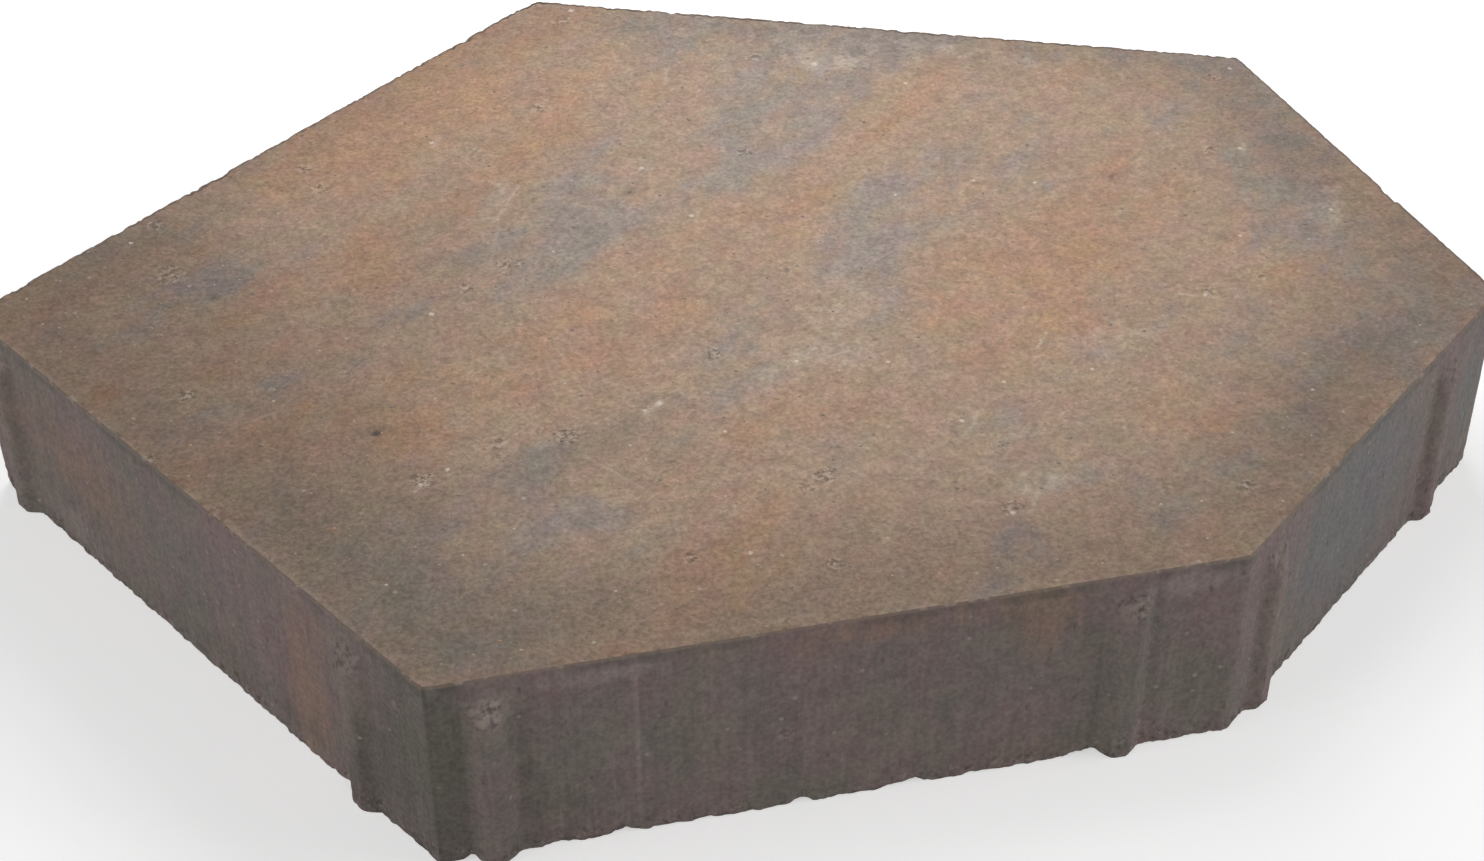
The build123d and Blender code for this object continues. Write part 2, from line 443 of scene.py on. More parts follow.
class Graph:
    """Builds a shader or geometry node tree out of sums, products, noises and blends."""

    def __init__(self, tree: bpy.types.NodeTree) -> None:
        """Start on an empty tree."""
        self.tree = tree
        tree.nodes.clear()

    def node(self, kind: str, feeds: dict[int | str, object] | None = None,
             **settings: object) -> bpy.types.Node:
        """Add one node.

        Args:
            kind: Blender's name for the node type.
            feeds: What goes into each input, by its name or number: a value or a Field.
            settings: The node's own properties.

        Returns:
            The new node.
        """
        node = self.tree.nodes.new(kind)
        for name, value in settings.items():
            setattr(node, name, value)
        for name, value in (feeds or {}).items():
            if isinstance(value, Field):
                self.tree.links.new(value.socket, node.inputs[name])
            else:
                node.inputs[name].default_value = value
        return node

    def field(self, kind: str, feeds: dict[int | str, object] | None = None, out: int | str = 0,
              **settings: object) -> "Field":
        """Add one node and return its output out, which is a name or a number."""
        return Field(self, self.node(kind, feeds, **settings).outputs[out])

    def math(self, operation: str, *values: object) -> "Field":
        """Add a Math node of that operation on one, two or three values."""
        return self.field("ShaderNodeMath", dict(enumerate(values)), operation=operation)

    def vector(self, x: object, y: object, z: object) -> "Field":
        """Join three values into a vector."""
        return self.field("ShaderNodeCombineXYZ", {0: x, 1: y, 2: z})

    def parts(self, vector: "Field") -> tuple["Field", "Field", "Field"]:
        """Split a vector into its three values."""
        node = self.node("ShaderNodeSeparateXYZ", {0: vector})
        return Field(self, node.outputs[0]), Field(self, node.outputs[1]), Field(self, node.outputs[2])

    def scaled(self, vector: "Field", factors: Place) -> "Field":
        """Multiply a vector by a factor on each axis."""
        return self.field("ShaderNodeVectorMath", {0: vector, 1: factors}, operation="MULTIPLY")

    def turned(self, vector: "Field", degrees: float) -> "Field":
        """Turn a vector about the upright axis."""
        feeds = {"Vector": vector, "Angle": math.radians(degrees)}
        return self.field("ShaderNodeVectorRotate", feeds, rotation_type="Z_AXIS")

    def noted(self, name: str) -> "Field":
        """Read one of the block's own numbers, in a material or in a geometry tree.

        Args:
            name: The number's name on the mesh.

        Returns:
            Its value.
        """
        if self.tree.bl_idname == "ShaderNodeTree":
            return self.field("ShaderNodeAttribute", out="Fac", attribute_name=name)
        return self.field("GeometryNodeInputNamedAttribute", {"Name": name}, data_type="FLOAT")

    def noise(self, where: "Field", size: float, detail: float = 2.0, rough: float = 0.5,
              warp: float = 0.0) -> "Field":
        """Add cloudy noise.

        Args:
            where: The coordinates that it reads.
            size: Size of its largest clouds, in metres.
            detail: How many finer layers it has.
            rough: Strength of each finer layer against the one before.
            warp: How far the clouds are distorted.

        Returns:
            The noise, about 0.5 on average.
        """
        feeds = {"Vector": where, "Scale": 1 / size, "Detail": detail, "Roughness": rough, "Distortion": warp}
        return self.field("ShaderNodeTexNoise", feeds, noise_dimensions="3D")

    def grains(self, where: "Field", size: float) -> tuple["Field", "Field"]:
        """Scatter points at random.

        Args:
            where: The coordinates that it reads.
            size: Distance between neighbouring points, roughly.

        Returns:
            The distance to the nearest point, in sizes, and that point's own random value, 0 to 1.
        """
        feeds = {"Vector": where, "Scale": 1 / size}
        node = self.node("ShaderNodeTexVoronoi", feeds, voronoi_dimensions="3D")
        red = self.parts(Field(self, node.outputs["Color"]))[0]
        return Field(self, node.outputs["Distance"]), red

    def step(self, value: object, low: float, high: float, bottom: float = 0.0, top: float = 1.0) -> "Field":
        """Rise smoothly from bottom, where value is low, to top, where value is high."""
        feeds = {"Value": value, "From Min": low, "From Max": high, "To Min": bottom, "To Max": top}
        return self.field("ShaderNodeMapRange", feeds, interpolation_type="SMOOTHSTEP")

    def blend(self, share: object, first: object, second: object) -> "Field":
        """Blend two colours: share 0 gives the first and share 1 the second."""
        feeds = {0: share, 6: self.opaque(first), 7: self.opaque(second)}
        return self.field("ShaderNodeMix", feeds, out=2, data_type="RGBA")

    def shade(self, colour: object, brightness: object) -> "Field":
        """Multiply a colour by a brightness."""
        return self.tint(colour, brightness, brightness, brightness)

    def tint(self, colour: object, red: object, green: object, blue: object) -> "Field":
        """Multiply each channel of a colour by a value of its own."""
        feeds = {0: 1.0, 6: self.opaque(colour), 7: self.vector(red, green, blue)}
        return self.field("ShaderNodeMix", feeds, out=2, data_type="RGBA", blend_type="MULTIPLY")

    def opaque(self, colour: object) -> object:
        """Give a plain colour its fourth channel, and leave a Field as it is."""
        return colour if isinstance(colour, Field) else (*colour, 1.0)


@dataclass(frozen=True)
class Field:
    """One output of a node tree, which takes part in sums and products as a number does."""

    graph: Graph
    socket: bpy.types.NodeSocket

    def __add__(self, other: object) -> "Field":
        """Add a number or another output."""
        return self.graph.math("ADD", self, other)

    def __radd__(self, other: object) -> "Field":
        """Add this to a number."""
        return self.graph.math("ADD", other, self)

    def __sub__(self, other: object) -> "Field":
        """Subtract a number or another output."""
        return self.graph.math("SUBTRACT", self, other)

    def __rsub__(self, other: object) -> "Field":
        """Subtract this from a number."""
        return self.graph.math("SUBTRACT", other, self)

    def __mul__(self, other: object) -> "Field":
        """Multiply by a number or another output."""
        return self.graph.math("MULTIPLY", self, other)

    def __rmul__(self, other: object) -> "Field":
        """Multiply a number by this."""
        return self.graph.math("MULTIPLY", other, self)


class Rim:
    """The edge line of the walking face, walked against the clock from the front left corner.

    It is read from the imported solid: its six longest pieces are the straight sides, and the short
    ones between them round the corners.
    """

    def __init__(self, corners: np.ndarray) -> None:
        """Find the straight sides and the sharp corners between them.

        Args:
            corners: Points of the face in the plane, as rows of x and y.
        """
        hull = geometry.convex_hull_2d([tuple(point) for point in corners])
        self.points = corners[hull]
        following = np.roll(self.points, -1, axis=0)
        lengths = np.linalg.norm(following - self.points, axis=1)
        sides = sorted(np.argsort(lengths)[-len(Wall):])
        self.directions = [(following[i] - self.points[i]) / lengths[i] for i in sides]
        starts = [self.points[i] for i in sides]
        front = max(range(len(sides)), key=lambda i: self.directions[i][0])
        order = [(front + i) % len(sides) for i in range(len(sides))]
        self.directions = [self.directions[i] for i in order]
        starts = [starts[i] for i in order]
        self.outwards = [np.array((along[1], -along[0])) for along in self.directions]
        self.corners = [self._meet(starts, i - 1, i) for i in range(len(order))]

    def _meet(self, starts: Sequence[np.ndarray], first: int, second: int) -> np.ndarray:
        """Find where the lines of two neighbouring sides cross.

        Args:
            starts: A point on each side.
            first: Number of one side.
            second: Number of the other.

        Returns:
            The x and y of the crossing.
        """
        normals = np.array([self.outwards[first], self.outwards[second]])
        reach = np.array([normals[0] @ starts[first], normals[1] @ starts[second]])
        return np.linalg.solve(normals, reach)

    def walk(self, spacing: float) -> tuple[np.ndarray, np.ndarray]:
        """Place points all the way round.

        Args:
            spacing: Distance between neighbouring points, roughly.

        Returns:
            The points, and the outward direction at each.
        """
        following = np.roll(self.points, -1, axis=0)
        lengths = np.linalg.norm(following - self.points, axis=1)
        ends = np.concatenate([[0.0], np.cumsum(lengths)])
        count = round(ends[-1] / spacing)
        stops = np.arange(count) * ends[-1] / count
        closed = np.vstack([self.points, self.points[:1]])
        rim = np.stack([np.interp(stops, ends, closed[:, axis]) for axis in (0, 1)], axis=1)
        along = np.roll(rim, -1, axis=0) - np.roll(rim, 1, axis=0)
        along /= np.linalg.norm(along, axis=1)[:, None]
        return rim, np.stack([along[:, 1], -along[:, 0]], axis=1)

    def inset(self, points: np.ndarray) -> np.ndarray:
        """Return how far inside the straight sides each point lies."""
        return np.min(self._gaps(points), axis=0)

    def nearest(self, points: np.ndarray) -> np.ndarray:
        """Return the number of the side that each point is nearest to."""
        return np.argmin(self._gaps(points), axis=0)

    def _gaps(self, points: np.ndarray) -> np.ndarray:
        """Return how far inside each side's line each point lies, one row for each side."""
        return np.stack([(corner - points) @ out for corner, out in zip(self.corners, self.outwards)])

    def sides(self, points: np.ndarray) -> tuple[np.ndarray, np.ndarray]:
        """Find the side that each rim point lies on.

        Args:
            points: Points of the rim, as rows of x and y.

        Returns:
            The number of each one's side, and its distance from that side's first corner.
        """
        walls = self.nearest(points)
        firsts = np.array(self.corners)[walls]
        along = np.sum((points - firsts) * np.array(self.directions)[walls], axis=1)
        return walls, along


# How much of the bottom edge has broken away, and how ragged the top edge is beyond the
# ordinary, for each side in the order of Wall
FOOT_LOSSES = (1.0, 0.35, 0.8, 1.0, 0.8, 0.35)
ARRIS_LOSSES = (0.0, 0.0, 0.0, 0.6, 1.0, 0.0)


@dataclass
class CastBlock:
    """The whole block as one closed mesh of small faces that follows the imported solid.

    Attributes:
        column_gap: Distance between the columns of points down the sides.
        face_gap: Distance between the points of the walking face.
        underside_gap: Distance between the points of the underside.
        row_heights: Heights of the rows down the sides as shares of the thickness, top first.
        reach: How far outside a side the search for the solid starts.
        skim: How far inside its top and bottom edges the solid is searched.
        unevenness: How far points leave their even pattern, as a share of their distance.
        clearance: Least distance of the pattern from the outline, as a share of its points' distance.
        ring_slack: Distance of a ring of points from the outline, as a share of its step.
        head_slope: Slopes of the sides at which a rib's head begins and is full.
        head_start: Depths below the top at which heads begin to count and count in full.
        seed: Seed of that unevenness.
    """

    column_gap: float = 0.0013
    face_gap: float = 0.0021
    underside_gap: float = 0.0065
    row_heights: tuple[float, ...] = (
        1.0, 0.9990, 0.9962, 0.9920, 0.985, 0.974, 0.958, 0.936, 0.908, 0.880, 0.852, 0.822, 0.790, 0.755,
        0.715, 0.670, 0.620, 0.570, 0.520, 0.470, 0.420, 0.370, 0.320, 0.275, 0.235, 0.198, 0.165, 0.135,
        0.107, 0.082, 0.060, 0.041, 0.025, 0.012, 0.0,
    )
    reach: float = 0.012
    skim: float = 0.000001
    unevenness: float = 0.22
    clearance: float = 0.7
    ring_slack: float = 1.2
    head_slope: tuple[float, float] = (0.12, 0.25)
    head_start: tuple[float, float] = (0.003, 0.006)
    seed: int = 11
    rim: Rim = field(init=False)

    def build(self, solid: bpy.types.Object) -> bpy.types.Object:
        """Make the block's mesh around the solid.

        Args:
            solid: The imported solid, which is only read.

        Returns:
            The new object, closed, with the attributes that its relief and finishes read.
        """
        low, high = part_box(NODE)
        places = np.array([vertex.co for vertex in solid.data.vertices])
        top = places[places[:, 2] > high.z - self.skim]
        self.rim = Rim(top[:, :2])
        rim, outwards = self.rim.walk(self.column_gap)
        walls, along = self.rim.sides(rim)
        shape = BVHTree.FromPolygons([vertex.co for vertex in solid.data.vertices],
                                     [polygon.vertices[:] for polygon in solid.data.polygons])
        heights = low.z + np.array(self.row_heights) * (high.z - low.z)
        rows = [self._row(shape, rim, outwards, height, low.z, high.z) for height in heights]

        columns = len(rim)
        points = [np.concatenate(rows)]
        faces: list[tuple[int, ...]] = []
        regions: list[int] = []
        for row in range(len(rows) - 1):
            for column in range(columns):
                right = (column + 1) % columns
                upper = row * columns
                lower = upper + columns
                faces.append((upper + column, lower + column, lower + right, upper + right))
                regions.append(Region.WALL.value)

        random = np.random.default_rng(self.seed)
        face_points, face_faces = self._cap(rows[0][:, :2], self.face_gap, 0, len(points[0]), random)
        points.append(np.column_stack([face_points, np.full(len(face_points), high.z)]))
        faces.extend(face_faces)
        regions.extend([Region.FACE.value] * len(face_faces))
        first = (len(rows) - 1) * columns
        start = sum(map(len, points))
        under_points, under_faces = self._cap(rows[-1][:, :2], self.underside_gap, first, start, random)
        points.append(np.column_stack([under_points, np.full(len(under_points), low.z)]))
        faces.extend(corner[::-1] for corner in under_faces)
        regions.extend([Region.UNDERSIDE.value] * len(under_faces))

        mesh = bpy.data.meshes.new("cast_block")
        mesh.from_pydata(np.concatenate(points).tolist(), [], faces)
        mesh.attributes.new("region", "FLOAT", "FACE").data.foreach_set("value", regions)
        mesh.polygons.foreach_set("use_smooth", [True] * len(mesh.polygons))
        self._note(mesh, walls, along, outwards, rows, len(face_points))
        block = bpy.data.objects.new("cast_block", mesh)
        bpy.context.scene.collection.objects.link(block)
        LOG.info("cast block: %d points, %d columns, %d rows", len(mesh.vertices), columns, len(rows))
        return block

    def _row(self, shape: BVHTree, rim: np.ndarray, outwards: np.ndarray, height: float, low: float,
             high: float) -> np.ndarray:
        """Read the solid's outline at one height.

        Args:
            shape: The solid.
            rim: The columns' places on the rim.
            outwards: The outward direction at each.
            height: Height of the row.
            low: The solid's lowest level.
            high: Its highest level.

        Returns:
            The row's points, one for each column.
        """
        level = min(max(height, low + self.skim), high - self.skim)
        row = np.empty((len(rim), 3))
        for index, (point, out) in enumerate(zip(rim, outwards)):
            inwards = Vector((-out[0], -out[1], 0))
            origin = Vector((point[0], point[1], level)) - inwards * self.reach
            hit = shape.ray_cast(origin, inwards, 2 * self.reach)[0]
            row[index] = (hit.x, hit.y, height) if hit else (point[0], point[1], height)
        return row

    def _cap(self, outline: np.ndarray, gap: float, first: int, start: int,
             random: np.random.Generator) -> tuple[np.ndarray, list[tuple[int, ...]]]:
        """Fill an outline with small triangles.

        Args:
            outline: The outline's points, as rows of x and y, against the clock.
            gap: Distance between the points inside it.
            first: Number of the outline's first point on the whole mesh.
            start: Number that the first new point gets on the whole mesh.
            random: Where the unevenness comes from.

        Returns:
            The new points inside the outline, and the triangles.
        """
        low = outline.min(axis=0)
        high = outline.max(axis=0)
        inside = []
        for number, y in enumerate(np.arange(low[1], high[1], gap * math.sqrt(3) / 2)):
            shift = gap / 2 if number % 2 else 0.0
            across = np.arange(low[0] + shift, high[0], gap)
            inside.append(np.column_stack([across, np.full(len(across), y)]))
        lattice = np.concatenate(inside)
        lattice += random.uniform(-self.unevenness, self.unevenness, lattice.shape) * gap
        band = [lattice[self.rim.inset(lattice) > gap * self.clearance]]
        step = self.column_gap
        while step * 2 < gap:
            band.append(self._ring(outline, step))
            step *= 2
        inner = np.concatenate(band)
        millimetres = 1000
        flat = [Vector(point) * millimetres for point in np.concatenate([outline, inner])]
        count = len(outline)
        edges = [(index, (index + 1) % count) for index in range(count)]
        inside_only = 1
        same_place = 1e-6
        joined = geometry.delaunay_2d_cdt(flat, edges, [], inside_only, same_place, True)
        triangles, origins = joined[2:4]
        numbers = [min(origin) for origin in origins]
        numbered = [tuple(numbers[corner] for corner in triangle) for triangle in triangles]
        shifted = [*range(first, first + count), *range(start, start + len(inner))]
        kept = self._within(numbered, count)
        return inner, [tuple(shifted[corner] for corner in triangle) for triangle in kept]

    def _within(self, triangles: Sequence[tuple[int, ...]], count: int) -> list[tuple[int, ...]]:
        """Drop the triangles that lie outside the outline, in the hollows between its bulges.

        Args:
            triangles: Triangles by the numbers of their points, the outline's points first.
            count: How many points the outline has.

        Returns:
            The triangles inside it.
        """
        neighbours: dict[frozenset[int], list[int]] = {}
        for number, triangle in enumerate(triangles):
            for corner in range(3):
                neighbours.setdefault(frozenset((triangle[corner], triangle[corner - 1])), []).append(number)
        rim = {frozenset((number, (number + 1) % count)) for number in range(count)}
        dropped: set[int] = set()
        waiting = [found[0] for edge, found in neighbours.items() if len(found) == 1 and edge not in rim]
        while waiting:
            number = waiting.pop()
            if number in dropped:
                continue
            dropped.add(number)
            triangle = triangles[number]
            for corner in range(3):
                edge = frozenset((triangle[corner], triangle[corner - 1]))
                if edge not in rim:
                    waiting.extend(neighbours[edge])
        return [triangle for number, triangle in enumerate(triangles) if number not in dropped]

    def _ring(self, outline: np.ndarray, step: float) -> np.ndarray:
        """Place a ring of points just inside the outline.

        Args:
            outline: The outline's points.
            step: How far inside the ring lies, and half the distance between its points.

        Returns:
            The ring's points.
        """
        every = max(1, round(step / self.column_gap) * 2)
        along = np.roll(outline, -1, axis=0) - np.roll(outline, 1, axis=0)
        along /= np.linalg.norm(along, axis=1)[:, None]
        inwards = np.stack([-along[:, 1], along[:, 0]], axis=1)
        ring = (outline + inwards * step * self.ring_slack)[::every]
        return ring[:-1]

    def _note(self, mesh: bpy.types.Mesh, walls: np.ndarray, along: np.ndarray, outwards: np.ndarray,
              rows: Sequence[np.ndarray], face_count: int) -> None:
        """Write what the relief and the finishes need to know of each point onto the mesh.

        Args:
            mesh: The block's mesh: its rows from the top down, then the walking face's points
                and the underside's.
            walls: The side that each column lies on.
            along: Its distance from that side's first corner.
            outwards: The outward direction at each column.
            rows: The rows' points.
            face_count: How many points lie inside the walking face.
        """
        places = np.array([vertex.co for vertex in mesh.vertices])
        low = places[:, 2].min()
        high = places[:, 2].max()
        columns = len(walls)
        wall_count = len(rows) * columns
        face = slice(wall_count, wall_count + face_count)
        under = slice(wall_count + face_count, len(places))

        on_face = np.zeros(len(places))
        on_face[:columns] = 1
        on_face[face] = 1
        on_wall = np.zeros(len(places))
        on_wall[:wall_count] = 1
        on_underside = np.zeros(len(places))
        on_underside[under] = 1
        on_underside[wall_count - columns:wall_count] = 1

        inset = np.maximum(self.rim.inset(places[:, :2]), 0)
        arris_gap = np.where(on_wall > 0, high - places[:, 2], inset)
        arris_gap[under] = high - low
        foot_gap = np.where(on_wall > 0, places[:, 2] - low, inset)
        foot_gap[face] = high - low

        nearest = self.rim.nearest(places[:, :2])
        outward = np.zeros_like(places)
        outward[:wall_count, :2] = np.tile(outwards, (len(rows), 1))
        outward[wall_count:, :2] = np.array(self.rim.outwards)[nearest[wall_count:]]
        attribute = mesh.attributes.new("outwards", "FLOAT_VECTOR", "POINT")
        attribute.data.foreach_set("vector", outward.astype(np.float32).ravel())

        corners = np.array(self.rim.corners)
        lengths = np.linalg.norm(np.roll(corners, -1, axis=0) - corners, axis=1)
        before = np.concatenate([[0.0], np.cumsum(lengths)[:-1]])
        around = np.zeros(len(places))
        around[:wall_count] = np.tile(along + before[walls], len(rows))

        proud, heads = self._ribs(rows, walls, high)
        beyond = np.zeros(len(places) - wall_count)
        for name, values in (
            ("on_face", on_face),
            ("on_wall", on_wall),
            ("on_underside", on_underside),
            ("arris_gap", arris_gap),
            ("foot_gap", foot_gap),
            ("around", around),
            ("height", places[:, 2] - low),
            ("proud", np.concatenate([proud, beyond])),
            ("head", np.concatenate([heads, beyond])),
            ("ragged", np.array(ARRIS_LOSSES)[nearest]),
            ("crumbly", np.array(FOOT_LOSSES)[nearest]),
        ):
            self._write(mesh, name, values)
        self._note_pigments(mesh, places, on_face, np.tile(walls, len(rows)), np.tile(along, len(rows)), low)

    def _ribs(self, rows: Sequence[np.ndarray], walls: np.ndarray,
              high: float) -> tuple[np.ndarray, np.ndarray]:
        """Find the ribs on the sides.

        Args:
            rows: The rows' points, from the top down.
            walls: The side that each column lies on.
            high: The level of the walking face.

        Returns:
            How far each point of the rows stands out from its side, and how much it is on the
            sloping head of a rib, 0 to 1.
        """
        out = np.array(self.rim.outwards)[walls]
        lines = np.sum(np.array(self.rim.corners)[walls] * out, axis=1)
        proud = [np.sum(row[:, :2] * out, axis=1) - lines for row in rows]
        heads = [np.zeros(len(walls))]
        for number in range(1, len(rows)):
            drop = rows[number - 1][:, 2] - rows[number][:, 2]
            slope = (proud[number] - proud[number - 1]) / drop
            below_top = smooth_step(*self.head_start, high - rows[number][:, 2])
            heads.append(smooth_step(*self.head_slope, slope) * below_top)
        return np.concatenate(proud), np.concatenate(heads)

    def _note_pigments(self, mesh: bpy.types.Mesh, places: np.ndarray, on_face: np.ndarray,
                       walls: np.ndarray, along: np.ndarray, low: float) -> None:
        """Write how much of each pigment, painted shade among them, lies at each point onto the mesh.

        Args:
            mesh: The block's mesh.
            places: Its points.
            on_face: 1 for the points of the walking face and its rim.
            walls: The side that each point of the rows lies on.
            along: Its distance from that side's first corner.
            low: The level of the underside.
        """
        no_wall = np.full(len(places) - len(walls), -1)
        wall_of = np.concatenate([walls, no_wall])
        along_wall = np.concatenate([along, np.zeros(len(no_wall))])
        for pigment in Pigment:
            bare = np.ones(len(places))
            for streak in STREAKS:
                if streak.pigment is pigment:
                    bare *= 1 - streak.cover(places) * on_face
            for stain in STAINS:
                if stain.pigment is pigment:
                    bare *= 1 - stain.cover(wall_of, along_wall, places[:, 2] - low) * (1 - on_face)
            self._write(mesh, pigment.value, 1 - bare)

    def _write(self, mesh: bpy.types.Mesh, name: str, values: np.ndarray) -> None:
        """Write one number for each point onto the mesh."""
        mesh.attributes.new(name, "FLOAT", "POINT").data.foreach_set("value", values.astype(np.float32))


def open_tree(name: str, sizes: dict[str, float]) -> tuple[Graph, Field, dict[str, Field]]:
    """Start a geometry tree that takes a mesh and a set of sizes.

    Args:
        name: The tree's name.
        sizes: Its number inputs, by name, and the value that each starts with.

    Returns:
        The graph, the mesh that comes in, and the number inputs by name.
    """
    tree = bpy.data.node_groups.new(name, "GeometryNodeTree")
    tree.interface.new_socket("Geometry", in_out="INPUT", socket_type="NodeSocketGeometry")
    tree.interface.new_socket("Geometry", in_out="OUTPUT", socket_type="NodeSocketGeometry")
    for label, size in sizes.items():
        socket = tree.interface.new_socket(label, in_out="INPUT", socket_type="NodeSocketFloat")
        socket.default_value = size
    graph = Graph(tree)
    inputs = graph.node("NodeGroupInput").outputs
    numbers = {socket.name: Field(graph, socket) for socket in inputs if socket.name}
    return graph, Field(graph, inputs[0]), numbers


def close_tree(graph: Graph, shape: Field, materials: Sequence[bpy.types.Material]) -> bpy.types.NodeTree:
    """End a geometry tree in plain geometry with its materials on it.

    Args:
        graph: The tree so far.
        shape: The geometry that it made.
        materials: The first goes on every face, and each further one on its own region's faces.

    Returns:
        The finished tree.
    """
    dressed = graph.field("GeometryNodeRealizeInstances", {"Geometry": shape})
    for number, material in enumerate(materials):
        feeds = {"Geometry": dressed, "Material": material}
        if number > 0:
            feeds["Selection"] = graph.math("COMPARE", graph.noted("region"), number, 0.5)
        dressed = graph.field("GeometryNodeSetMaterial", feeds)
    output = graph.node("NodeGroupOutput")
    graph.tree.links.new(dressed.socket, output.inputs[0])
    return graph.tree


@dataclass(frozen=True)
class Relief:
    """How deep each kind of unevenness of the cast surface is, in metres.

    Attributes:
        face_sag: Long shallow waves of the walking face.
        face_grain: The open grain of the walking face.
        drag: Upright drag lines of the sides.
        side_grain: Grain of the sides.
        foot_grain: Grain of the rough band above the underside.
        foot_band: Height of that band.
        arris_nibble: Small losses all along the top edge.
        arris_chip: Larger chips in the top edge.
        foot_nibble: Small losses all along the bottom edge.
        foot_chip: Larger losses in the bottom edge.
        underside_grain: Grain of the underside.
        face_skin: How far the walking face's highest points stay inside the solid.
        side_skin: How far the sides' outermost points stay inside the solid.
        seed: Moves all the noises together.
    """

    face_sag: float = 0.00018
    face_grain: float = 0.00028
    drag: float = 0.00020
    side_grain: float = 0.00020
    foot_grain: float = 0.00090
    foot_band: float = 0.012
    arris_nibble: float = 0.0005
    arris_chip: float = 0.0008
    foot_nibble: float = 0.0011
    foot_chip: float = 0.0034
    underside_grain: float = 0.0006
    face_skin: float = 0.00018
    side_skin: float = 0.00008
    seed: float = 3.0

    def sizes(self) -> dict[str, float]:
        """Return the tree's inputs by name."""
        return {
            "Face Sag": self.face_sag,
            "Face Grain": self.face_grain,
            "Drag": self.drag,
            "Side Grain": self.side_grain,
            "Foot Grain": self.foot_grain,
            "Foot Band": self.foot_band,
            "Arris Nibble": self.arris_nibble,
            "Arris Chip": self.arris_chip,
            "Foot Nibble": self.foot_nibble,
            "Foot Chip": self.foot_chip,
            "Underside Grain": self.underside_grain,
            "Face Skin": self.face_skin,
            "Side Skin": self.side_skin,
            "Seed": self.seed,
        }

    def tree(self, materials: Sequence[bpy.types.Material]) -> bpy.types.NodeTree:
        """Build the geometry tree that presses the relief into the block.

        Args:
            materials: The block's materials, in the order of Region.

        Returns:
            The tree, whose inputs are the sizes above.
        """
        graph, block, size = open_tree("cast_relief", self.sizes())
        position = graph.field("GeometryNodeInputPosition")
        offset = graph.vector(size["Seed"], size["Seed"], size["Seed"])
        where = graph.field("ShaderNodeVectorMath", {0: position, 1: offset}, operation="ADD")
        feeds = {"Name": "outwards"}
        outwards = graph.field("GeometryNodeInputNamedAttribute", feeds, data_type="FLOAT_VECTOR")

        face = self._face(graph, where, size)
        wall = self._wall(graph, where, size)
        under = graph.step(graph.noise(where, 0.006, 3, 0.6), 0.45, 0.8) * size["Underside Grain"]

        arris_gap = graph.noted("arris_gap")
        foot_gap = graph.noted("foot_gap")
        ragged = graph.noted("ragged")
        nibble = graph.step(graph.noise(where, 0.0035, 3, 0.6), 0.35, 0.75) * size["Arris Nibble"]
        chipped = graph.step(graph.noise(where, 0.016, 2, 0.6) + ragged * 0.07, 0.58, 0.74)
        chip = chipped * graph.noise(where, 0.004, 2, 0.5) * size["Arris Chip"] * 1.6
        arris = graph.math("MAXIMUM", nibble * (ragged + 1.0) + chip - arris_gap * 0.55, 0.0)
        gnaw = graph.step(graph.noise(where, 0.0042, 3, 0.6), 0.30, 0.75) * size["Foot Nibble"]
        spalled = graph.step(graph.noise(where, 0.030, 2, 0.6), 0.50, 0.66)
        spall = spalled * graph.noise(where, 0.012, 3, 0.6) * size["Foot Chip"] * 1.6 * graph.noted("crumbly")
        spared = graph.step(graph.noted("proud"), 0.0004, 0.0020, 1.0, 0.25)
        calm = graph.noted("crumbly") * 0.7 + 0.3
        foot = graph.math("MAXIMUM", (gnaw * calm + spall) * spared - foot_gap * 0.6, 0.0)

        on_face = graph.noted("on_face")
        on_wall = graph.noted("on_wall")
        on_under = graph.noted("on_underside")
        diagonal = math.sqrt(0.5)
        sideways = (wall * on_wall + arris * diagonal + foot) * -1.0
        upwards = under * on_under + foot * 0.08 - face * on_face - arris * diagonal
        push = graph.field("ShaderNodeVectorMath", {0: outwards, "Scale": sideways}, operation="SCALE")
        lift = graph.vector(0.0, 0.0, upwards)
        shift = graph.field("ShaderNodeVectorMath", {0: push, 1: lift}, operation="ADD")
        moved = graph.field("GeometryNodeSetPosition", {"Geometry": block, "Offset": shift})
        return close_tree(graph, moved, materials)

    def _face(self, graph: Graph, where: Field, size: dict[str, Field]) -> Field:
        """Return how far the walking face lies below its highest level.

        Args:
            graph: The relief's tree.
            where: The coordinates that the noises read.
            size: The tree's inputs by name.

        Returns:
            The depth, in metres.
        """
        sag = graph.step(graph.noise(where, 0.06, 1, 0.5), 0.25, 0.75) * size["Face Sag"]
        grain = graph.step(graph.noise(where, 0.0052, 3, 0.62), 0.3, 0.72) * size["Face Grain"]
        pit_gap, pit_own = graph.grains(where, 0.009)
        pit = graph.step(pit_gap, 0.30, 0.05) * graph.step(pit_own, 0.90, 0.93) * size["Face Grain"] * 2.2
        return sag + grain + pit + size["Face Skin"]

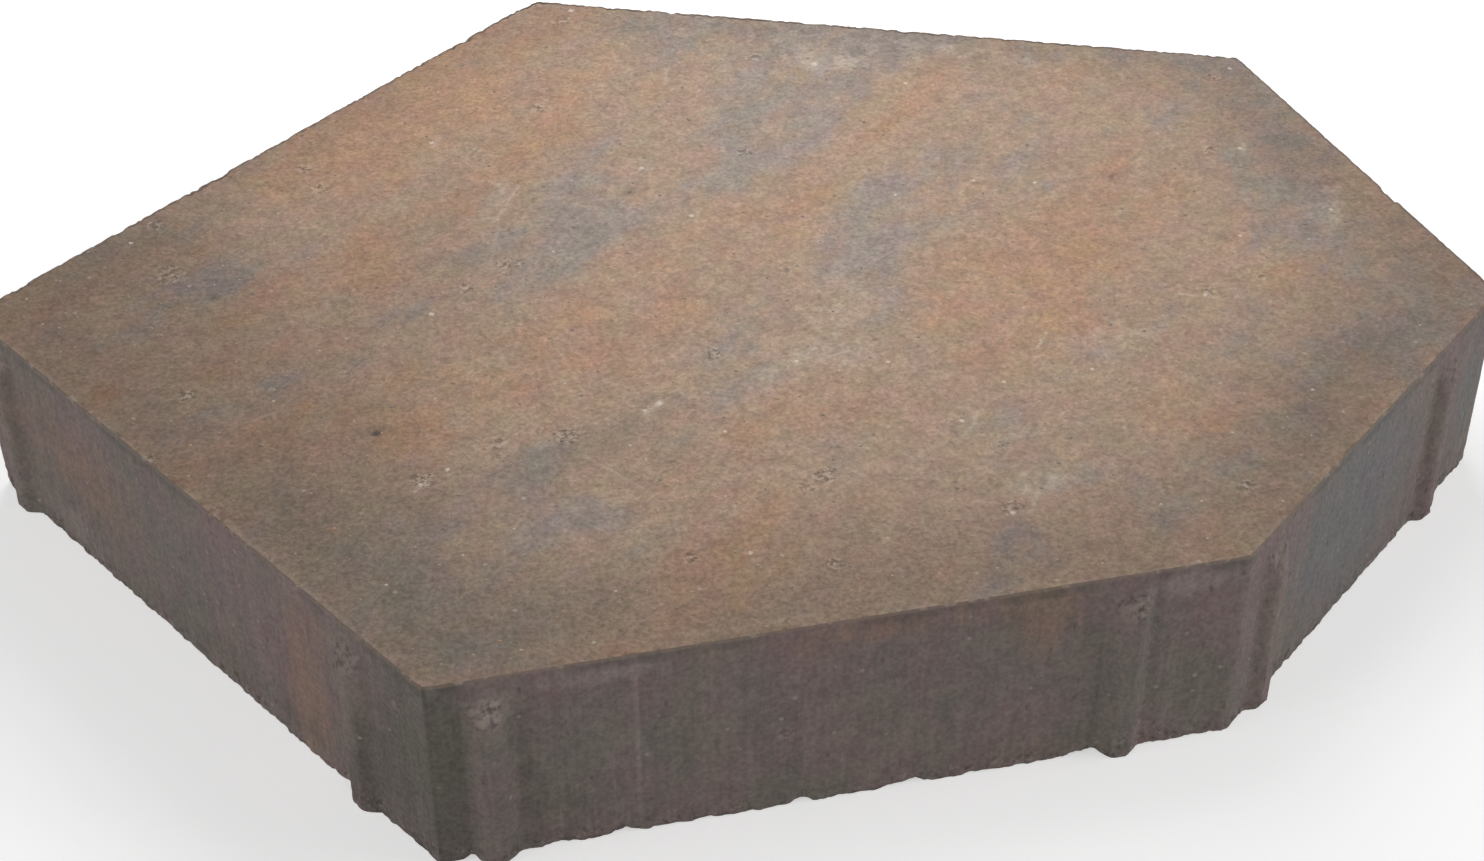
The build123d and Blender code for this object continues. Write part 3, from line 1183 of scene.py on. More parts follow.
    def _wall(self, graph: Graph, where: Field, size: dict[str, Field]) -> Field:
        """Return how far a side lies inside its outermost level.

        Args:
            graph: The relief's tree.
            where: The coordinates that the noises read.
            size: The tree's inputs by name.

        Returns:
            The depth, in metres.
        """
        around = graph.noted("around")
        height = graph.noted("height")
        lines = graph.vector(around, height * 0.04, size["Seed"])
        drag = graph.step(graph.noise(lines, 0.0065, 3, 0.65), 0.25, 0.78) * size["Drag"]
        grain = graph.step(graph.noise(where, 0.0045, 3, 0.6), 0.35, 0.8) * size["Side Grain"]
        edge = graph.noise(graph.vector(around, 0.0, size["Seed"]), 0.025, 2, 0.5)
        low = graph.math("DIVIDE", height, size["Foot Band"]) - (edge - 0.5) * 1.6
        torn = graph.step(graph.noise(where, 0.0048, 3, 0.65), 0.40, 0.75) * size["Foot Grain"]
        where_torn = graph.step(low, 1.0, 0.35) + graph.noted("head") * 0.9
        return drag + grain + torn * where_torn + size["Side Skin"]


@dataclass(frozen=True)
class Grit:
    """Stone grains that stand just proud of the walking face.

    Attributes:
        spacing: Least distance between two grains.
        density: Most grains on a square metre.
        smallest: Radius of the smallest grain.
        largest: Radius of the largest grain.
        flatness: A grain's thickness as a share of its width.
        sunk: How far a grain's middle lies below the surface, as a share of its radius.
        margin: Width of the bare strip along the face's edge.
        seed: Seed of the scatter.
    """

    spacing: float = 0.0050
    density: float = 16000.0
    smallest: float = 0.0005
    largest: float = 0.0010
    flatness: float = 0.30
    sunk: float = 0.45
    margin: float = 0.003
    seed: int = 5

    def sizes(self) -> dict[str, float]:
        """Return the tree's inputs by name."""
        return {
            "Spacing": self.spacing,
            "Density": self.density,
            "Smallest": self.smallest,
            "Largest": self.largest,
            "Flatness": self.flatness,
            "Sunk": self.sunk,
            "Margin": self.margin,
        }

    def tree(self, material: bpy.types.Material) -> bpy.types.NodeTree:
        """Build the geometry tree that scatters the grains over the walking face.

        Args:
            material: The grains' material.

        Returns:
            The tree. It takes the finished block and gives the grains alone.
        """
        graph, block, size = open_tree("face_grit", self.sizes())
        inside = graph.math("GREATER_THAN", graph.noted("arris_gap") * graph.noted("on_face"), size["Margin"])
        scatter = graph.node("GeometryNodeDistributePointsOnFaces", {
            "Mesh": block,
            "Selection": inside,
            "Distance Min": size["Spacing"],
            "Density Max": size["Density"],
            "Seed": self.seed,
        }, distribute_method="POISSON")
        chance = graph.field("FunctionNodeRandomValue", {2: 0.0, 3: 1.0, "Seed": self.seed}, out=1)
        bias = graph.math("POWER", chance, 2.5)
        span = size["Largest"] - size["Smallest"]
        radius = size["Smallest"] + bias * span
        stretch = graph.field("FunctionNodeRandomValue", {2: 0.7, 3: 1.3, "Seed": self.seed + 1}, out=1)
        scale = graph.vector(radius * stretch, radius, radius * size["Flatness"])
        spin = graph.field("FunctionNodeRandomValue", {2: 0.0, 3: math.tau, "Seed": self.seed + 2}, out=1)
        turn = graph.vector(0.0, 0.0, spin)
        grain = graph.node("GeometryNodeMeshIcoSphere", {"Radius": 1.0, "Subdivisions": 1})
        smoothed = graph.field("GeometryNodeSetShadeSmooth", {"Geometry": Field(graph, grain.outputs[0])})
        placed = graph.field("GeometryNodeInstanceOnPoints", {
            "Points": Field(graph, scatter.outputs["Points"]),
            "Instance": smoothed,
            "Rotation": turn,
            "Scale": scale,
        })
        tone = graph.field("FunctionNodeRandomValue", {2: 0.0, 3: 1.0, "Seed": self.seed + 3}, out=1)
        toned = graph.field("GeometryNodeStoreNamedAttribute", {
            "Geometry": placed,
            "Name": "tone",
            "Value": tone,
        }, data_type="FLOAT", domain="INSTANCE")
        sink = radius * size["Flatness"] * size["Sunk"] * -1.0
        lowered = graph.field("GeometryNodeTranslateInstances", {
            "Instances": toned,
            "Translation": graph.vector(0.0, 0.0, sink),
            "Local Space": False,
        })
        return close_tree(graph, lowered, [material])


def new_material(name: str) -> tuple[bpy.types.Material, Graph]:
    """Make an empty material.

    Args:
        name: Its name.

    Returns:
        The material, and the graph that fills its tree.
    """
    material = bpy.data.materials.new(name)
    material.use_nodes = True
    return material, Graph(material.node_tree)


def finish_shader(graph: Graph, colour: Field, rough: object, height: Field, gloss: float,
                  bump: float) -> None:
    """Close a material's tree with its shader.

    Args:
        graph: The tree so far.
        colour: The base colour.
        rough: The roughness, a number or a Field.
        height: The fine relief, in metres.
        gloss: Level of the plain reflection.
        bump: Strength of the fine relief, 0 to 1.
    """
    normal = graph.field("ShaderNodeBump", {"Strength": bump, "Distance": 1.0, "Height": height})
    shader = graph.node("ShaderNodeBsdfPrincipled", {
        "Base Color": colour,
        "Roughness": rough,
        "Specular IOR Level": gloss,
        "Normal": normal,
    })
    output = graph.node("ShaderNodeOutputMaterial")
    graph.tree.links.new(shader.outputs["BSDF"], output.inputs["Surface"])


def scattered(graph: Graph, where: Field, spacing: float, share: float) -> Field:
    """Scatter small round spots at random.

    Args:
        graph: The material's tree.
        where: The coordinates that it reads.
        spacing: Distance between places where a spot may be.
        share: Share of those places that have one.

    Returns:
        How far each point lies in a spot, 0 to 1.
    """
    far, own = graph.grains(where, spacing)
    return graph.step(far, 0.22, 0.08) * graph.step(own, 1 - share, 1 - share * 0.7)


def distance(graph: Graph, where: Field, x: float, y: float) -> Field:
    """Return the level distance from one place to each point."""
    across, up, _ = graph.parts(where)
    from_x = across - x
    from_y = up - y
    return graph.math("SQRT", from_x * from_x + from_y * from_y)


def round_spot(graph: Graph, where: Field, x: float, y: float, radius: float, rough: Field) -> Field:
    """Draw one round spot with an uneven edge.

    Args:
        graph: The material's tree.
        where: The coordinates that it reads.
        x: The spot's middle along +X.
        y: Its middle along +Y.
        radius: Its radius.
        rough: Noise that makes its edge uneven.

    Returns:
        How far each point lies in it, 0 to 1.
    """
    gap = distance(graph, where, x, y) + (rough - 0.5) * (radius * 1.6)
    return graph.step(gap, radius, radius * 0.5)


def crumbled(graph: Graph, where: Field, spot: Field) -> tuple[Field, Field]:
    """Break the surface up in spots, where pale crumbs and dark hollows lie side by side; the dark of the
    hollows is painted shade.

    Args:
        graph: The material's tree.
        where: The coordinates that it reads.
        spot: Where the surface is broken, 0 to 1.

    Returns:
        How pale and how dark each point is.
    """
    crumb = graph.noise(where, 0.0021, 3, 0.65)
    return spot * graph.step(crumb, 0.51, 0.60), spot * graph.step(crumb, 0.48, 0.38)


@dataclass(frozen=True)
class FaceFinish:
    """The walking face: fine open concrete, its brown and grey pigments dragged into streaks, with painted
    shade towards its edges and its left side.
    """

    ground: Colour = linear(169, 143, 122)
    rust: Colour = linear(177, 141, 111)
    clay: Colour = linear(172, 137, 114)
    slate: Colour = linear(153, 139, 129)
    shade: Colour = linear(143, 130, 121)
    olive: Colour = linear(125, 114, 101)
    # Brightness left where the painted shade is full, for the light falling off towards the left side and the
    # edges
    painted_shade: float = 0.66
    # Painted shade along the face's edges, for the light falling off there: the brightness left at the very
    # edge
    rim: float = 0.84
    pale: Colour = linear(186, 174, 160)
    # Dark colour of the painted shade in pores and in the broken spots' hollows
    dark: Colour = linear(92, 82, 74)
    speck: Colour = linear(205, 190, 172)
    stone: Colour = linear(222, 208, 192)
    # Width of the painted shade along the face's edges
    rim_shade_width: float = 0.045
    drag: float = -50.0
    cloud_size: float = 0.050
    patch_size: float = 0.018
    blot_size: float = 0.0095
    hue_size: float = 0.015
    clay_size: float = 0.022
    wide_size: float = 0.060
    mottle_size: float = 0.0075
    crumb_size: float = 0.0032
    grain_size: float = 0.0017
    fine_size: float = 0.0008
    rust_pull: float = 0.36
    slate_pull: float = 0.34
    even_warmth: float = 0.46
    roughness: float = 0.72
    gloss: float = 0.35
    bump: float = 0.9

    def material(self) -> bpy.types.Material:
        """Build the material.

        Returns:
            The material, with its tree complete.
        """
        material, graph = new_material("walking_face")
        where = graph.field("ShaderNodeTexCoord", out="Object")
        mottle = graph.noise(where, self.mottle_size, 3, 0.55)
        grain = graph.noise(where, self.grain_size, 3, 0.6)
        fine = graph.noise(where, self.fine_size, 2, 0.6)
        colour = self._speckled(graph, where, self._pigments(graph, where, mottle), mottle, grain, fine)

        far, own = graph.grains(where, 0.0060)
        sparkle = graph.step(far, 0.19, 0.07) * graph.step(own, 0.88, 0.95)
        colour = graph.blend(sparkle * 0.42, colour, self.speck)
        # Pores: dented a little in the fine relief, and darkened with painted shade
        pore_far, pore_own = graph.grains(graph.scaled(where, (1.0, 1.1, 1.0)), 0.0048)
        shaded_pore = graph.step(pore_far, 0.26, 0.08) * graph.step(pore_own, 0.84, 0.92)
        colour = graph.blend(shaded_pore * 0.28, colour, self.dark)

        broken = scattered(graph, where, 0.024, 0.25)
        for x, y, radius in BROKEN_SPOTS:
            broken = graph.math("MAXIMUM", broken, round_spot(graph, where, x, y, radius, mottle))
        broken_pale, broken_hollow_shade = crumbled(graph, where, broken)
        colour = graph.blend(broken_pale * 0.45, colour, self.speck)
        # Painted shade in the broken spots' hollows, which the fine relief dents only a little
        colour = graph.blend(broken_hollow_shade * 0.55, colour, self.dark)

        # Painted shade in the pits
        for pit in PITS:
            colour = graph.shade(colour, self._pit_shade(graph, where, pit, mottle))
        for scratch in SCRATCHES:
            colour = graph.blend(self._scuff(graph, where, scratch, grain), colour, self.speck)
        for x, y, radius in STONES:
            colour = graph.blend(round_spot(graph, where, x, y, radius, fine) * 0.75, colour, self.stone)

        height = grain * 0.00022 + fine * 0.00010 + mottle * 0.00012 + sparkle * 0.00010 - shaded_pore * 0.00025
        height = height - broken_hollow_shade * 0.00030
        rough = graph.step(grain, 0.3, 0.7, self.roughness + 0.08, self.roughness - 0.08)
        finish_shader(graph, colour, rough, height, self.gloss, self.bump)
        return material

    def _pigments(self, graph: Graph, where: Field, mottle: Field) -> Field:
        """Lay the pigments over each other: placed streaks, with clouds dragged the same way; then darken the
        edges and the left side with painted shade.

        Args:
            graph: The material's tree.
            where: The coordinates that it reads.
            mottle: Noise that makes the worn places uneven.

        Returns:
            The colour.
        """
        turned = graph.turned(where, self.drag)
        cloud = graph.noise(graph.scaled(turned, (0.42, 1.0, 1.0)), self.cloud_size, 4, 0.55, 0.5)
        patch = graph.noise(graph.scaled(turned, (0.7, 1.0, 1.0)), self.patch_size, 2, 0.5, 0.3)
        blot = graph.noise(graph.scaled(turned, (0.8, 1.0, 1.0)), self.blot_size, 1, 0.5)
        hue = graph.noise(graph.scaled(turned, (0.7, 1.0, 1.5)), self.hue_size, 3, 0.62)
        wide = graph.noise(where, self.wide_size, 3, 0.5)

        rusted = graph.noted(Pigment.RUST.value) * self.rust_pull
        greyed = graph.noted(Pigment.SLATE.value) * self.slate_pull
        drift = (cloud - 0.5) * 1.0 + (patch - 0.5) * 0.65 + (blot - 0.5) * 0.4
        warmth = rusted - greyed + drift + self.even_warmth
        clayey = graph.step(graph.noise(where, self.clay_size, 3, 0.6), 0.38, 0.62)
        warm = graph.blend(clayey, self.rust, self.clay)
        cool = graph.blend(graph.step(warmth, 0.20, -0.15), self.slate, self.shade)
        colour = graph.blend(graph.step(warmth, 0.14, 0.48), cool, self.ground)
        colour = graph.blend(graph.step(warmth, 0.48, 0.88), colour, warm)

        # Painted shade: the face darkens towards its edges, for the light falling off there
        edge = graph.noted("arris_gap") + (cloud - 0.5) * 0.05 + (patch - 0.5) * 0.02
        rim = graph.step(edge, self.rim_shade_width, 0.0)
        olive = graph.step(graph.noted(Pigment.OLIVE.value) + (wide - 0.5) * 0.2, 0.0, 1.0)
        colour = graph.blend(olive * 0.70, colour, self.olive)
        # Painted shade: darken without changing the hue towards the left side and the edges, where the light
        # falls off
        painted_shade = graph.noted(Pigment.PAINTED_SHADE.value) + (wide - 0.5) * 0.15
        colour = graph.shade(colour, graph.step(painted_shade, -0.10, 1.0, 1.0, self.painted_shade))
        colour = graph.shade(colour, graph.step(rim, 0.0, 1.0, 1.0, self.rim))
        pale = graph.step(graph.noted(Pigment.PALE.value) + (mottle - 0.5) * 0.8, 0.15, 0.95)
        colour = graph.blend(pale * 0.6, colour, self.pale)

        rosy = graph.step(hue, 0.30, 0.70, 1.018, 0.982)
        greenish = graph.step(hue, 0.30, 0.70, 0.964, 1.036)
        soft = graph.step(wide, 0.35, 0.65, 0.99, 1.01)
        return graph.shade(graph.tint(colour, rosy, greenish, rosy), soft)

    def _speckled(self, graph: Graph, where: Field, colour: Field, mottle: Field, grain: Field,
                  fine: Field) -> Field:
        """Lighten and darken a colour in clots, crumbs, grains and dust.

        Args:
            graph: The material's tree.
            where: The coordinates that it reads.
            colour: The colour.
            mottle: Noise for the clots.
            grain: Noise for the grains.
            fine: Noise for the dust.

        Returns:
            The colour, speckled.
        """
        clot = graph.step(mottle, 0.30, 0.70, 0.90, 1.10)
        crumb = graph.step(graph.noise(where, self.crumb_size, 2, 0.55), 0.30, 0.70, 0.91, 1.09)
        speckle = graph.step(grain, 0.25, 0.75, 0.85, 1.15)
        dust = graph.step(fine, 0.25, 0.75, 0.93, 1.07)
        return graph.shade(colour, clot * crumb * speckle * dust)

    def _pit_shade(self, graph: Graph, where: Field, pit: Pit, mottle: Field) -> Field:
        """Paint the shade of a pit on the face, and darken a soft ring round it.

        Args:
            graph: The material's tree.
            where: The coordinates that it reads.
            pit: The pit.
            mottle: Noise that makes its edge uneven.

        Returns:
            How bright each point stays.
        """
        gap = distance(graph, where, pit.x, pit.y) + (mottle - 0.5) * (pit.radius * 2.0)
        halo = graph.step(gap, pit.radius * 3.0, pit.radius, 1.0, 0.86)
        return halo * graph.step(gap, pit.radius, 0.0, 1.0, 1.0 - pit.depth)

    def _scuff(self, graph: Graph, where: Field, scratch: Scratch, grain: Field) -> Field:
        """Draw a broken scratch.

        Args:
            graph: The material's tree.
            where: The coordinates that it reads.
            scratch: The scratch.
            grain: Noise that breaks it up.

        Returns:
            How much of it covers each point.
        """
        x, y, _ = graph.parts(where)
        start_x, start_y = scratch.start
        span_x = scratch.end[0] - start_x
        span_y = scratch.end[1] - start_y
        length = math.hypot(span_x, span_y)
        from_x = x - start_x
        from_y = y - start_y
        along = from_x * (span_x / length) + from_y * (span_y / length)
        beside = graph.math("ABSOLUTE", from_y * (span_x / length) - from_x * (span_y / length))
        past = graph.math("ABSOLUTE", along - length / 2) - length / 2
        gap = graph.math("MAXIMUM", beside, past) + (grain - 0.5) * scratch.width * 6.0
        return graph.step(gap, scratch.width * 0.9, scratch.width * -0.3) * (scratch.strength * 0.70)


@dataclass(frozen=True)
class SideFinish:
    """The sides: darker concrete drawn smooth by the mould, torn near the foot."""

    ground: Colour = linear(116, 105, 99)
    violet: Colour = linear(117, 101, 99)
    moss: Colour = linear(108, 101, 95)
    rust: Colour = linear(132, 106, 90)
    slate: Colour = linear(106, 105, 105)
    olive: Colour = linear(86, 83, 75)
    pale: Colour = linear(142, 129, 124)
    # Dark colour of torn concrete, also used for the painted shade in hollows and for the shadow line under
    # the top edge
    torn: Colour = linear(76, 70, 64)
    chalk: Colour = linear(164, 150, 138)
    crown: Colour = linear(136, 119, 102)
    long_line: float = 0.011
    fine_line: float = 0.0022
    line_stretch: float = 0.05
    cloud_size: float = 0.035
    hue_size: float = 0.020
    mottle_size: float = 0.008
    grain_size: float = 0.0016
    roughness: float = 0.80
    gloss: float = 0.35
    bump: float = 0.9

    def material(self) -> bpy.types.Material:
        """Build the material.

        Returns:
            The material, with its tree complete.
        """
        material, graph = new_material("drawn_side")
        where = graph.field("ShaderNodeTexCoord", out="Object")
        height = graph.noted("height")
        lines = graph.vector(graph.noted("around"), height * self.line_stretch, 0.0)
        long_lines = graph.noise(lines, self.long_line, 3, 0.6)
        fine_lines = graph.noise(lines, self.fine_line, 3, 0.6)
        cloud = graph.noise(graph.scaled(where, (1.0, 1.0, 0.5)), self.cloud_size, 3, 0.6)
        mottle = graph.noise(where, self.mottle_size, 3, 0.6)
        grain = graph.noise(where, self.grain_size, 3, 0.6)

        colour = self._pigments(graph, where, cloud, mottle, long_lines, fine_lines)
        streaks = graph.step(fine_lines, 0.28, 0.72, 0.93, 1.07)
        bands = graph.step(long_lines, 0.3, 0.7, 0.97, 1.03)
        speckle = graph.step(grain, 0.25, 0.75, 0.84, 1.16) * graph.step(mottle, 0.3, 0.7, 0.94, 1.06)
        colour = self._marked(graph, where, graph.shade(colour, streaks * bands * speckle), fine_lines)

        edge = graph.noise(graph.vector(graph.noted("around"), 0.0, 3.0), 0.025, 2, 0.5)
        low = graph.step(height + (edge - 0.5) * -0.016, 0.010, 0.002)
        # Painted shade in the hollows of the torn band near the foot, which the fine relief also dents a
        # little
        shaded_hollow = graph.step(graph.noise(where, 0.0036, 3, 0.65), 0.52, 0.66)
        colour = graph.blend(low * shaded_hollow * 0.65, colour, self.torn)
        chip = graph.step(graph.noise(where, 0.0030, 2, 0.6), 0.58, 0.68)
        colour = graph.blend(low * chip * 0.35, colour, self.chalk)
        colour = self._heads_and_arris(graph, where, colour, cloud, mottle)

        bump_height = fine_lines * 0.00022 + grain * 0.00020 + mottle * 0.00010 - low * shaded_hollow * 0.0005
        rough = graph.step(grain, 0.3, 0.7, self.roughness + 0.08, self.roughness - 0.06)
        finish_shader(graph, colour, rough, bump_height, self.gloss, self.bump)
        return material

    def _pigments(self, graph: Graph, where: Field, cloud: Field, mottle: Field, long_lines: Field,
                  fine_lines: Field) -> Field:
        """Lay the placed stains over the side's own greys, violets and browns.

        Args:
            graph: The material's tree.
            where: The coordinates that it reads.
            cloud: Noise for the widest patches.
            mottle: Noise for the small patches.
            long_lines: Noise for the wide upright bands.
            fine_lines: Noise for the fine drag lines.

        Returns:
            The colour.
        """
        colour = graph.blend(graph.step(cloud, 0.42, 0.62), self.violet, self.moss)
        greyed = graph.step(mottle + (long_lines - 0.5) * 0.6, 0.35, 0.65)
        colour = graph.blend(greyed * 0.5, colour, self.ground)
        unrest = (cloud - 0.5) * 0.8 + (long_lines - 0.5) * 0.7
        unrest = unrest + (mottle - 0.5) * 0.5 + (fine_lines - 0.5) * 0.4
        rust = graph.step(graph.noted(Pigment.RUST.value) + unrest, 0.30, 0.90)
        slate = graph.step(graph.noted(Pigment.SLATE.value) - unrest, 0.30, 0.90)
        olive = graph.step(graph.noted(Pigment.OLIVE.value) - unrest * 0.7, 0.20, 0.90)
        pale = graph.step(graph.noted(Pigment.PALE.value) + unrest * 0.6, 0.30, 0.95)
        colour = graph.blend(rust * 0.58, colour, self.rust)
        colour = graph.blend(slate * 0.85, colour, self.slate)
        colour = graph.blend(olive * 0.75, colour, self.olive)
        colour = graph.blend(pale * 0.5, colour, self.pale)

        hue = graph.noise(graph.scaled(where, (1.0, 1.0, 0.6)), self.hue_size, 3, 0.55)
        rosy = graph.step(hue, 0.30, 0.70, 1.014, 0.986)
        return graph.tint(colour, rosy, graph.step(hue, 0.30, 0.70, 0.972, 1.028), rosy)

    def _marked(self, graph: Graph, where: Field, colour: Field, fine_lines: Field) -> Field:
        """Add the upright scars, dark nicks, pale specks and broken spots.

        Args:
            graph: The material's tree.
            where: The coordinates that it reads.
            colour: The colour so far.
            fine_lines: Noise for the fine drag lines.

        Returns:
            The colour with them.
        """
        scar = graph.step(fine_lines, 0.64, 0.72) * graph.step(graph.noise(where, 0.010, 2, 0.5), 0.54, 0.64)
        colour = graph.blend(scar * 0.28, colour, self.chalk)
        upright = graph.scaled(where, (1.0, 1.0, 0.45))
        nick_far, nick_own = graph.grains(upright, 0.0036)
        nick = graph.step(nick_far, 0.26, 0.10) * graph.step(nick_own, 0.78, 0.88)
        colour = graph.blend(nick * 0.55, colour, self.torn)
        far, own = graph.grains(where, 0.0045)
        speck = graph.step(far, 0.25, 0.12) * graph.step(own, 0.93, 0.96)
        colour = graph.blend(speck * 0.5, colour, self.chalk)
        broken_pale, broken_hollow_shade = crumbled(graph, where, scattered(graph, where, 0.024, 0.35))
        colour = graph.blend(broken_pale * 0.30, colour, self.chalk)
        # Painted shade in the broken spots' hollows
        return graph.blend(broken_hollow_shade * 0.50, colour, self.torn)

    def _heads_and_arris(self, graph: Graph, where: Field, colour: Field, cloud: Field,
                         mottle: Field) -> Field:
        """Add the crumbled rib heads, a pale line along the top edge, and the painted shadow line just under
        it.

        Args:
            graph: The material's tree.
            where: The coordinates that it reads.
            colour: The colour so far.
            cloud: Noise for the widest patches.
            mottle: Noise for the small patches.

        Returns:
            The colour with them.
        """
        head = graph.noted("head")
        crumbs = graph.noise(where, 0.0024, 3, 0.6)
        chance = graph.step(graph.noise(where, 0.050, 1, 0.5), 0.42, 0.62) * 0.4
        pale_head = graph.math("MAXIMUM", head * chance, head * graph.noted(Pigment.PALE.value))
        colour = graph.blend(pale_head * graph.step(crumbs, 0.46, 0.58) * 0.60, colour, self.chalk)
        colour = graph.blend(head * graph.step(crumbs, 0.44, 0.36) * 0.7, colour, self.torn)

        arris_gap = graph.noted("arris_gap")
        over = graph.step(arris_gap + (mottle - 0.5) * 0.002, 0.0014, 0.0004)
        colour = graph.blend(over * 0.45, colour, self.crown)
        under_arris = graph.step(arris_gap, 0.0008, 0.0016) * graph.step(arris_gap, 0.0056, 0.0030)
        shadow_line = under_arris * graph.step(cloud, 0.42, 0.52)
        colour = graph.blend(shadow_line * 0.35, colour, self.torn)
        bare = graph.step(graph.noise(where, 0.005, 2, 0.6), 0.56, 0.66)
        return graph.blend(graph.step(arris_gap, 0.0016, 0.0002) * bare * 0.6, colour, self.chalk)


@dataclass(frozen=True)
class UndersideFinish:
    """The underside: coarse grey concrete as it was struck off, never walked on."""

    ground: Colour = linear(126, 118, 109)
    dark: Colour = linear(88, 82, 75)
    pale: Colour = linear(158, 149, 138)
    roughness: float = 0.88
    gloss: float = 0.3
    bump: float = 1.0

    def material(self) -> bpy.types.Material:
        """Build the material.

        Returns:
            The material, with its tree complete.
        """
        material, graph = new_material("struck_underside")
        where = graph.field("ShaderNodeTexCoord", out="Object")
        cloud = graph.noise(where, 0.050, 3, 0.6)
        crumb = graph.noise(where, 0.0050, 4, 0.65)
        grain = graph.noise(where, 0.0016, 3, 0.6)
        colour = graph.blend(graph.step(crumb, 0.62, 0.38), self.ground, self.dark)
        colour = graph.blend(graph.step(cloud, 0.45, 0.65) * 0.4, colour, self.pale)
        far, own = graph.grains(where, 0.0075)
        stone = graph.step(far, 0.34, 0.26) * graph.step(own, 0.70, 0.74)
        colour = graph.blend(stone * 0.5, colour, self.pale)
        colour = graph.shade(colour, graph.step(grain, 0.25, 0.75, 0.82, 1.18))
        height = crumb * 0.0009 + grain * 0.0002 + stone * 0.0003
        finish_shader(graph, colour, self.roughness, height, self.gloss, self.bump)
        return material


@dataclass(frozen=True)
class GritFinish:
    """Single stone grains, mostly of the face's own brown, some pale and some dark."""

    dark: Colour = linear(128, 115, 104)
    brown: Colour = linear(160, 137, 119)
    rust: Colour = linear(164, 128, 102)
    pale: Colour = linear(190, 175, 157)
    roughness: float = 0.6
    gloss: float = 0.45
    bump: float = 0.5

    def material(self) -> bpy.types.Material:
        """Build the material.

        Returns:
            The material, with its tree complete.
        """
        material, graph = new_material("stone_grit")
        where = graph.field("ShaderNodeTexCoord", out="Object")
        tone = graph.noted("tone")
        grain = graph.noise(where, 0.0006, 2, 0.6)
        colour = graph.blend(graph.step(tone, 0.30, 0.40), self.dark, self.brown)
        colour = graph.blend(graph.step(tone, 0.70, 0.74), colour, self.rust)
        colour = graph.blend(graph.step(tone, 0.94, 0.96), colour, self.pale)
        colour = graph.shade(colour, graph.step(grain, 0.25, 0.75, 0.88, 1.12))
        finish_shader(graph, colour, self.roughness, grain * 0.0001, self.gloss, self.bump)
        return material


def seen_directly(graph: Graph) -> Field:
    """Return 1 for rays that come from the eye, also by way of gloss or glass, and 0 for light's own.

    Args:
        graph: The tree of the floor or the world.

    Returns:
        That switch.
    """
    path = graph.node("ShaderNodeLightPath").outputs
    eye = Field(graph, path["Is Camera Ray"])
    gloss = Field(graph, path["Is Glossy Ray"])
    glass = Field(graph, path["Is Transmission Ray"])
    return graph.math("MAXIMUM", graph.math("MAXIMUM", eye, gloss), glass)


@dataclass(frozen=True)
class FloorFinish:
    """The pale studio floor: the eye sees it nearly white, and the block is lit by less of it."""

    seen: Colour = (0.86, 0.86, 0.86)
    lights: Colour = (0.80, 0.80, 0.80)
    glow: float = 0.48
    far_glow: float = 1.0
    near: float = 0.45
    far: float = 1.10

    def material(self) -> bpy.types.Material:
        """Build the material.

        Returns:
            The material, with its tree complete.
        """
        material, graph = new_material("studio_floor")
        direct = seen_directly(graph)
        base = graph.blend(direct, self.lights, self.seen)
        diffuse = graph.field("ShaderNodeBsdfDiffuse", {"Color": base})
        x, y, _ = graph.parts(graph.field("ShaderNodeTexCoord", out="Object"))
        away = graph.math("SQRT", x * x + y * y)
        level = direct * graph.step(away, self.near, self.far, self.glow, self.far_glow)
        glow = graph.field("ShaderNodeEmission", {"Color": (1.0, 1.0, 1.0, 1.0), "Strength": level})
        both = graph.node("ShaderNodeAddShader", {0: diffuse, 1: glow})
        output = graph.node("ShaderNodeOutputMaterial")
        graph.tree.links.new(both.outputs[0], output.inputs["Surface"])
        return material


@dataclass(frozen=True)
class Viewpoint:
    """Where the photograph was taken from.

    Attributes:
        place: The camera's place.
        heading: Direction of view, in degrees from +Y towards +X.
        dip: Downward tilt of the view, in degrees.
        roll: Turn of the camera about its line of view, in degrees.
        focal_pixels: Focal length in pixels of the photograph.
        width_pixels: Width of the photograph.
        sensor: Width of the sensor, in millimetres.
    """

    place: Place = (-0.1771, -0.8106, 0.6490)
    heading: float = 12.846
    dip: float = 38.194
    roll: float = -0.251
    focal_pixels: float = 2645.4
    width_pixels: int = 1484
    sensor: float = 36.0

    def camera(self) -> bpy.types.Object:
        """Put up the camera and make it the scene's own.

        Returns:
            The camera.
        """
        data = bpy.data.cameras.new("viewpoint")
        data.sensor_fit = "HORIZONTAL"
        data.sensor_width = self.sensor
        data.lens = self.focal_pixels / self.width_pixels * self.sensor
        camera = bpy.data.objects.new("viewpoint", data)
        bpy.context.scene.collection.objects.link(camera)
        upright = Euler((math.radians(90 - self.dip), 0, math.radians(-self.heading)), "XYZ").to_matrix()
        rolled = upright @ Euler((0, 0, math.radians(self.roll)), "XYZ").to_matrix()
        camera.matrix_world = rolled.to_4x4()
        camera.location = self.place
        bpy.context.scene.camera = camera
        return camera


@dataclass(frozen=True)
class Lamp:
    """A square soft light that looks at the middle of the block."""

    name: str
    place: Place
    size: float
    power: float
    colour: Colour = (1.0, 1.0, 1.0)

    def hang(self) -> bpy.types.Object:
        """Put up the light.

        Returns:
            Its object.
        """
        data = bpy.data.lights.new(self.name, "AREA")
        data.shape = "SQUARE"
        data.size = self.size
        data.energy = self.power
        data.color = self.colour
        lamp = bpy.data.objects.new(self.name, data)
        bpy.context.scene.collection.objects.link(lamp)
        lamp.location = self.place
        lamp.rotation_euler = (-Vector(self.place)).to_track_quat("-Z", "Y").to_euler()
        return lamp


